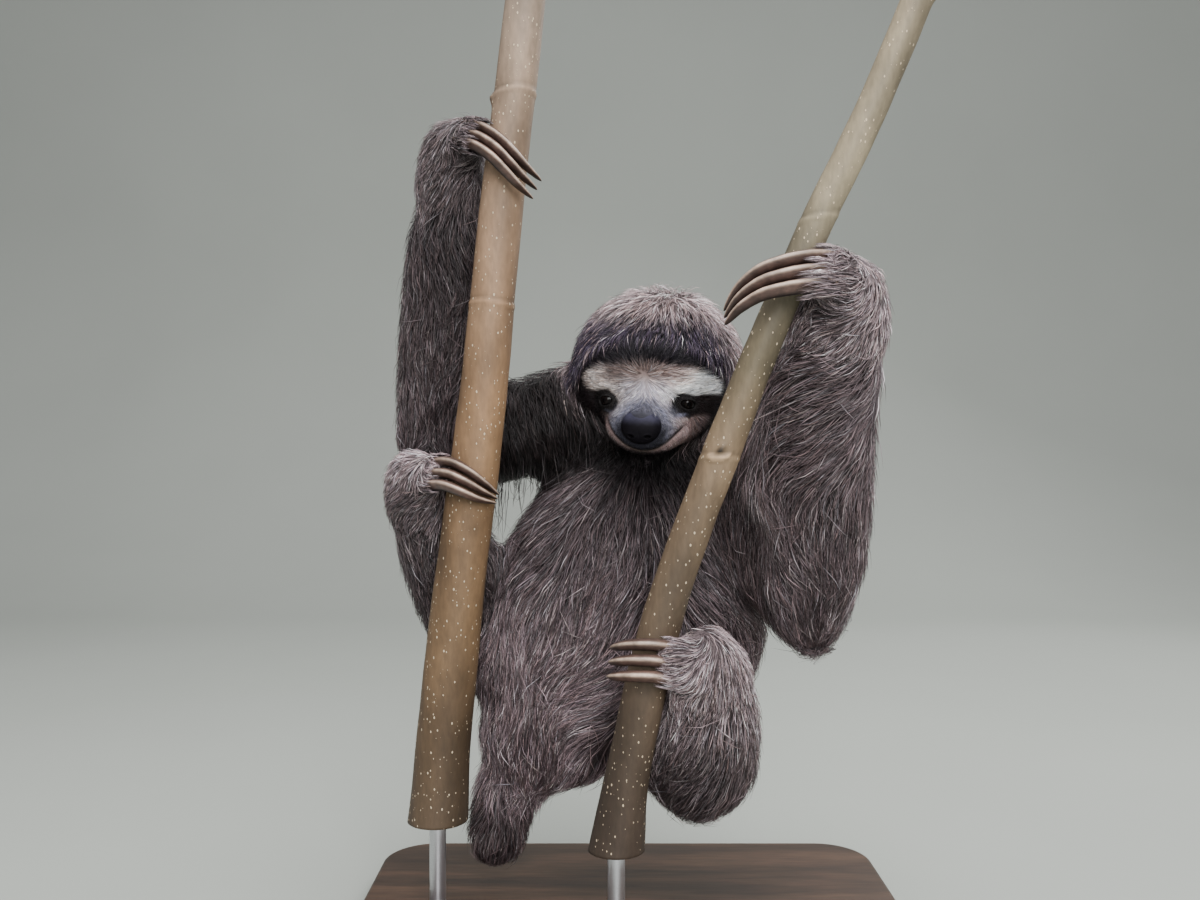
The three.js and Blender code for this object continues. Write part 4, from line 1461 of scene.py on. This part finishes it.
def make_rods():
    """A rod and a collar under each stem."""
    pieces = []
    inner = ROD_RADIUS - ROD_CHAMFER
    for side in ("right", "left"):
        low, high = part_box(f"stand_rod_{side}")
        top = (high.z - low.z) / MM
        heights = (ROD_CHAMFER, top / 3, top * 2 / 3, top - ROD_CHAMFER)
        rod = [(inner, 0), *((ROD_RADIUS, height) for height in heights), (inner, top)]
        pieces.append(turned_piece(f"stand_pin_{side}", f"stand_rod_{side}", rod))
        pieces.append(turned_piece(f"stand_ring_{side}", f"stand_collar_{side}", COLLAR_PROFILE))
    return pieces


# ---------------------------------------------------------------- materials
class Look:
    """A procedural material, built node by node."""

    def __init__(self, name):
        self.material = bpy.data.materials.new(name)
        self.material.use_nodes = True
        self.tree = self.material.node_tree
        self.shader = self.tree.nodes["Principled BSDF"]

    def add(self, kind, settings=None, **inputs):
        """A node. An input's name has its spaces as underscores, and its value is a number or a socket."""
        node = self.tree.nodes.new("ShaderNode" + kind)
        for key, value in (settings or {}).items():
            setattr(node, key, value)
        for key, value in inputs.items():
            self.put(node, key.replace("_", " "), value)
        return node

    def put(self, node, name, value):
        socket = node.inputs[int(name) if name.isdigit() else name]
        if isinstance(value, bpy.types.NodeSocket):
            self.tree.links.new(value, socket)
        else:
            socket.default_value = value

    def surface(self, **inputs):
        for key, value in inputs.items():
            self.put(self.shader, key.replace("_", " "), value)
        return self.material


def tone_of(look):
    return look.add("Attribute", {"attribute_name": "tone"}).outputs["Color"]


def place_on(look, stretch):
    """The piece's own coordinates, stretched along each axis."""
    place = look.add("TexCoord").outputs["Object"]
    return look.add("Mapping", Vector=place, Scale=stretch).outputs["Vector"]


def mix_of(look, share, first, second, blend="MIX"):
    """Two colours mixed, or multiplied together."""
    mix = look.add("Mix", {"data_type": "RGBA", "blend_type": blend})
    for number, value in (("0", share), ("6", first), ("7", second)):
        look.put(mix, number, value)
    return mix.outputs[2]


def with_grain(look, colour, grain, low, high):
    """A colour made darker where a noise is low, and lighter where it is high."""
    level = look.add("MapRange", Value=grain, From_Min=0.3, From_Max=0.7, To_Min=low, To_Max=high)
    return mix_of(look, 1.0, colour, level.outputs["Result"], "MULTIPLY")


def speckled(look, colour, scale, low, high, stretch=(1, 1, 1)):
    """A colour made lighter and darker by noise in the piece's own coordinates."""
    place = place_on(look, stretch)
    grain = look.add("TexNoise", Vector=place, Scale=scale, Detail=4.0).outputs["Fac"]
    return with_grain(look, colour, grain, low, high), grain


def coat_look():
    look = Look("coat")
    colour, _ = speckled(look, tone_of(look), 60, 0.8, 1.15)
    return look.surface(Base_Color=colour, Roughness=0.5, Specular_IOR_Level=0.4)


def skin_look():
    look = Look("skin")
    colour, grain = speckled(look, tone_of(look), 700, 0.75, 1.1)
    bump = look.add("Bump", Strength=0.4, Distance=0.0006, Height=grain).outputs["Normal"]
    return look.surface(Base_Color=colour, Roughness=0.75, Specular_IOR_Level=0.25, Normal=bump)


def eye_look():
    look = Look("eye")
    colour, _ = speckled(look, tone_of(look), 900, 0.8, 1.2)
    return look.surface(Base_Color=colour, Roughness=0.06, IOR=1.38, Specular_IOR_Level=0.14)


def nose_look():
    look = Look("nose")
    colour, _ = speckled(look, tone_of(look), 400, 0.75, 1.25)
    place = look.add("TexCoord").outputs["Object"]
    cells = look.add("TexVoronoi", {"feature": "DISTANCE_TO_EDGE"}, Vector=place, Scale=1300.0)
    edges = cells.outputs["Distance"]
    bump = look.add("Bump", Strength=0.35, Distance=0.0002, Height=edges).outputs["Normal"]
    return look.surface(Base_Color=colour, Roughness=0.6, Specular_IOR_Level=0.07, Normal=bump)


def claw_look():
    look = Look("claw")
    colour, _ = speckled(look, tone_of(look), 150, 0.62, 1.3)
    colour, grain = speckled(look, colour, 500, 0.8, 1.15, (1, 1, 2.5))
    bump = look.add("Bump", Strength=0.2, Distance=0.0002, Height=grain).outputs["Normal"]
    return look.surface(Base_Color=colour, Roughness=0.38, Specular_IOR_Level=0.45, Normal=bump)


def bark_look():
    """Bark in fine mottles and up-and-down streaks, with small raised pale pores."""
    look = Look("bark")
    colour, _ = speckled(look, tone_of(look), 45, 0.82, 1.14, (1, 1, 0.45))
    colour, grain = speckled(look, colour, 420, 0.86, 1.12, (1, 1, 0.35))
    pore = look.add("TexVoronoi", Vector=place_on(look, (1, 1, 0.62)), Scale=480.0)
    pick = look.add("SeparateColor", Color=pore.outputs["Color"]).outputs["Red"]
    size = look.add("MapRange", Value=pick, From_Min=0.12, From_Max=1.0, To_Min=0.02, To_Max=0.28)
    inside = look.add("Math", {"operation": "SUBTRACT"})
    look.put(inside, "0", size.outputs["Result"])
    look.put(inside, "1", pore.outputs["Distance"])
    dot_mask = look.add("MapRange", Value=inside.outputs[0], From_Min=0.0, From_Max=0.05).outputs["Result"]
    colour = mix_of(look, dot_mask, colour, (*paint(186, 169, 143), 1))
    raised = look.add("Bump", Strength=0.8, Distance=0.0004, Height=dot_mask).outputs["Normal"]
    rough = look.add("Bump", Strength=0.35, Distance=0.0005, Height=grain, Normal=raised).outputs["Normal"]
    return look.surface(Base_Color=colour, Roughness=0.62, Specular_IOR_Level=0.35, Normal=rough)


def board_look():
    """Dark stained wood with grain along the board."""
    look = Look("board")
    place = place_on(look, (0.12, 1, 1))
    broad = look.add("TexNoise", Vector=place, Scale=46.0, Detail=3.0, Distortion=0.6).outputs["Fac"]
    fine = look.add("TexNoise", Vector=place, Scale=420.0, Detail=4.0).outputs["Fac"]
    ramp = look.add("ValToRGB", Fac=broad)
    for end, (position, colour) in enumerate([(0.36, paint(44, 31, 25)), (0.66, paint(74, 54, 42))]):
        ramp.color_ramp.elements[end].position = position
        ramp.color_ramp.elements[end].color = (*colour, 1)
    colour = with_grain(look, ramp.outputs["Color"], fine, 0.7, 1.15)
    bump = look.add("Bump", Strength=0.15, Distance=0.0003, Height=fine).outputs["Normal"]
    return look.surface(Base_Color=colour, Roughness=0.42, Specular_IOR_Level=0.4, Normal=bump)


def steel_look():
    look = Look("steel")
    colour, grain = speckled(look, tone_of(look), 500, 0.9, 1.05, (1, 1, 12))
    bump = look.add("Bump", Strength=0.1, Distance=0.0001, Height=grain).outputs["Normal"]
    return look.surface(Base_Color=colour, Metallic=1.0, Roughness=0.32, Normal=bump)


def painted(pieces, material):
    for piece in pieces:
        piece.data.materials.clear()
        piece.data.materials.append(material)


# ---------------------------------------------------------------- stage
# In metres: where the floor begins, where the wall behind stands and its top, the curve between them, and
# half the width of both.
FLOOR_FRONT, WALL_BACK, WALL_TOP, FLOOR_CURVE, HALF_WIDTH = -4.0, 2.2, 5.0, 0.9, 6
# Each light's place and size in metres, and its power in watts; then the place that they all face.
LAMPS = {
    "sky": ((0.1, -0.45, 1.9), 1.5, 56),
    "front": ((0.2, -1.6, 0.85), 0.8, 40),
    "rim": ((0.9, 1.0, 1.4), 0.9, 20),
}
LIT_PLACE = Vector((0, 0, 0.28))
SKY_COLOUR, SKY_STRENGTH = (0.97, 0.955, 1, 1), 0.6


def make_stage():
    """A pale floor that curves up into a wall behind."""
    profile = [(FLOOR_FRONT, 0)]
    for turn in np.radians(np.linspace(0, 90, 24)):
        back = WALL_BACK - FLOOR_CURVE + FLOOR_CURVE * math.sin(turn)
        profile.append((back, FLOOR_CURVE * (1 - math.cos(turn))))
    profile.append((WALL_BACK, WALL_TOP))
    bm = bmesh.new()
    rows = [[bm.verts.new((x, y, z)) for y, z in profile] for x in (-HALF_WIDTH, HALF_WIDTH)]
    for i in range(len(profile) - 1):
        bm.faces.new((rows[0][i], rows[1][i], rows[1][i + 1], rows[0][i + 1])).smooth = True
    mesh = bpy.data.meshes.new("floor")
    bm.to_mesh(mesh)
    bm.free()
    floor = new_object("floor", mesh)
    look = Look("paper")
    grey = look.add("RGB").outputs[0]
    grey.default_value = (*paint(150, 154, 148), 1)
    colour, _ = speckled(look, grey, 2, 0.97, 1.03)
    floor.data.materials.append(look.surface(Base_Color=colour, Roughness=0.9, Specular_IOR_Level=0.2))


def make_lights():
    world = bpy.data.worlds.new("studio")
    bpy.context.scene.world = world
    world.use_nodes = True
    background = world.node_tree.nodes["Background"]
    background.inputs["Color"].default_value = SKY_COLOUR
    background.inputs["Strength"].default_value = SKY_STRENGTH
    for name, (place, size, power) in LAMPS.items():
        data = bpy.data.lights.new(name, "AREA")
        data.size = size
        data.energy = power
        lamp = bpy.data.objects.new(name, data)
        lamp.location = place
        lamp.rotation_euler = (LIT_PLACE - Vector(place)).to_track_quat("-Z", "Y").to_euler()
        bpy.context.scene.collection.objects.link(lamp)


# ---------------------------------------------------------------- the whole model
make_camera()
make_stage()
make_lights()
hull = Hull()
skin = make_skin(hull)
lay = Lay(skin, hull)
give_tones(skin.data, lay.point_tones)
painted([skin], skin_look())
painted(make_coat(lay), coat_look())
painted([make_eye(node, eye) for node, eye in EYES.items()], eye_look())
painted([make_nose()], nose_look())
painted([make_claw(paw, number) for paw in CLAWS for number in (1, 2, 3)], claw_look())
painted([make_stem(node) for node in STEMS], bark_look())
painted([make_base()], board_look())
painted(make_rods(), steel_look())
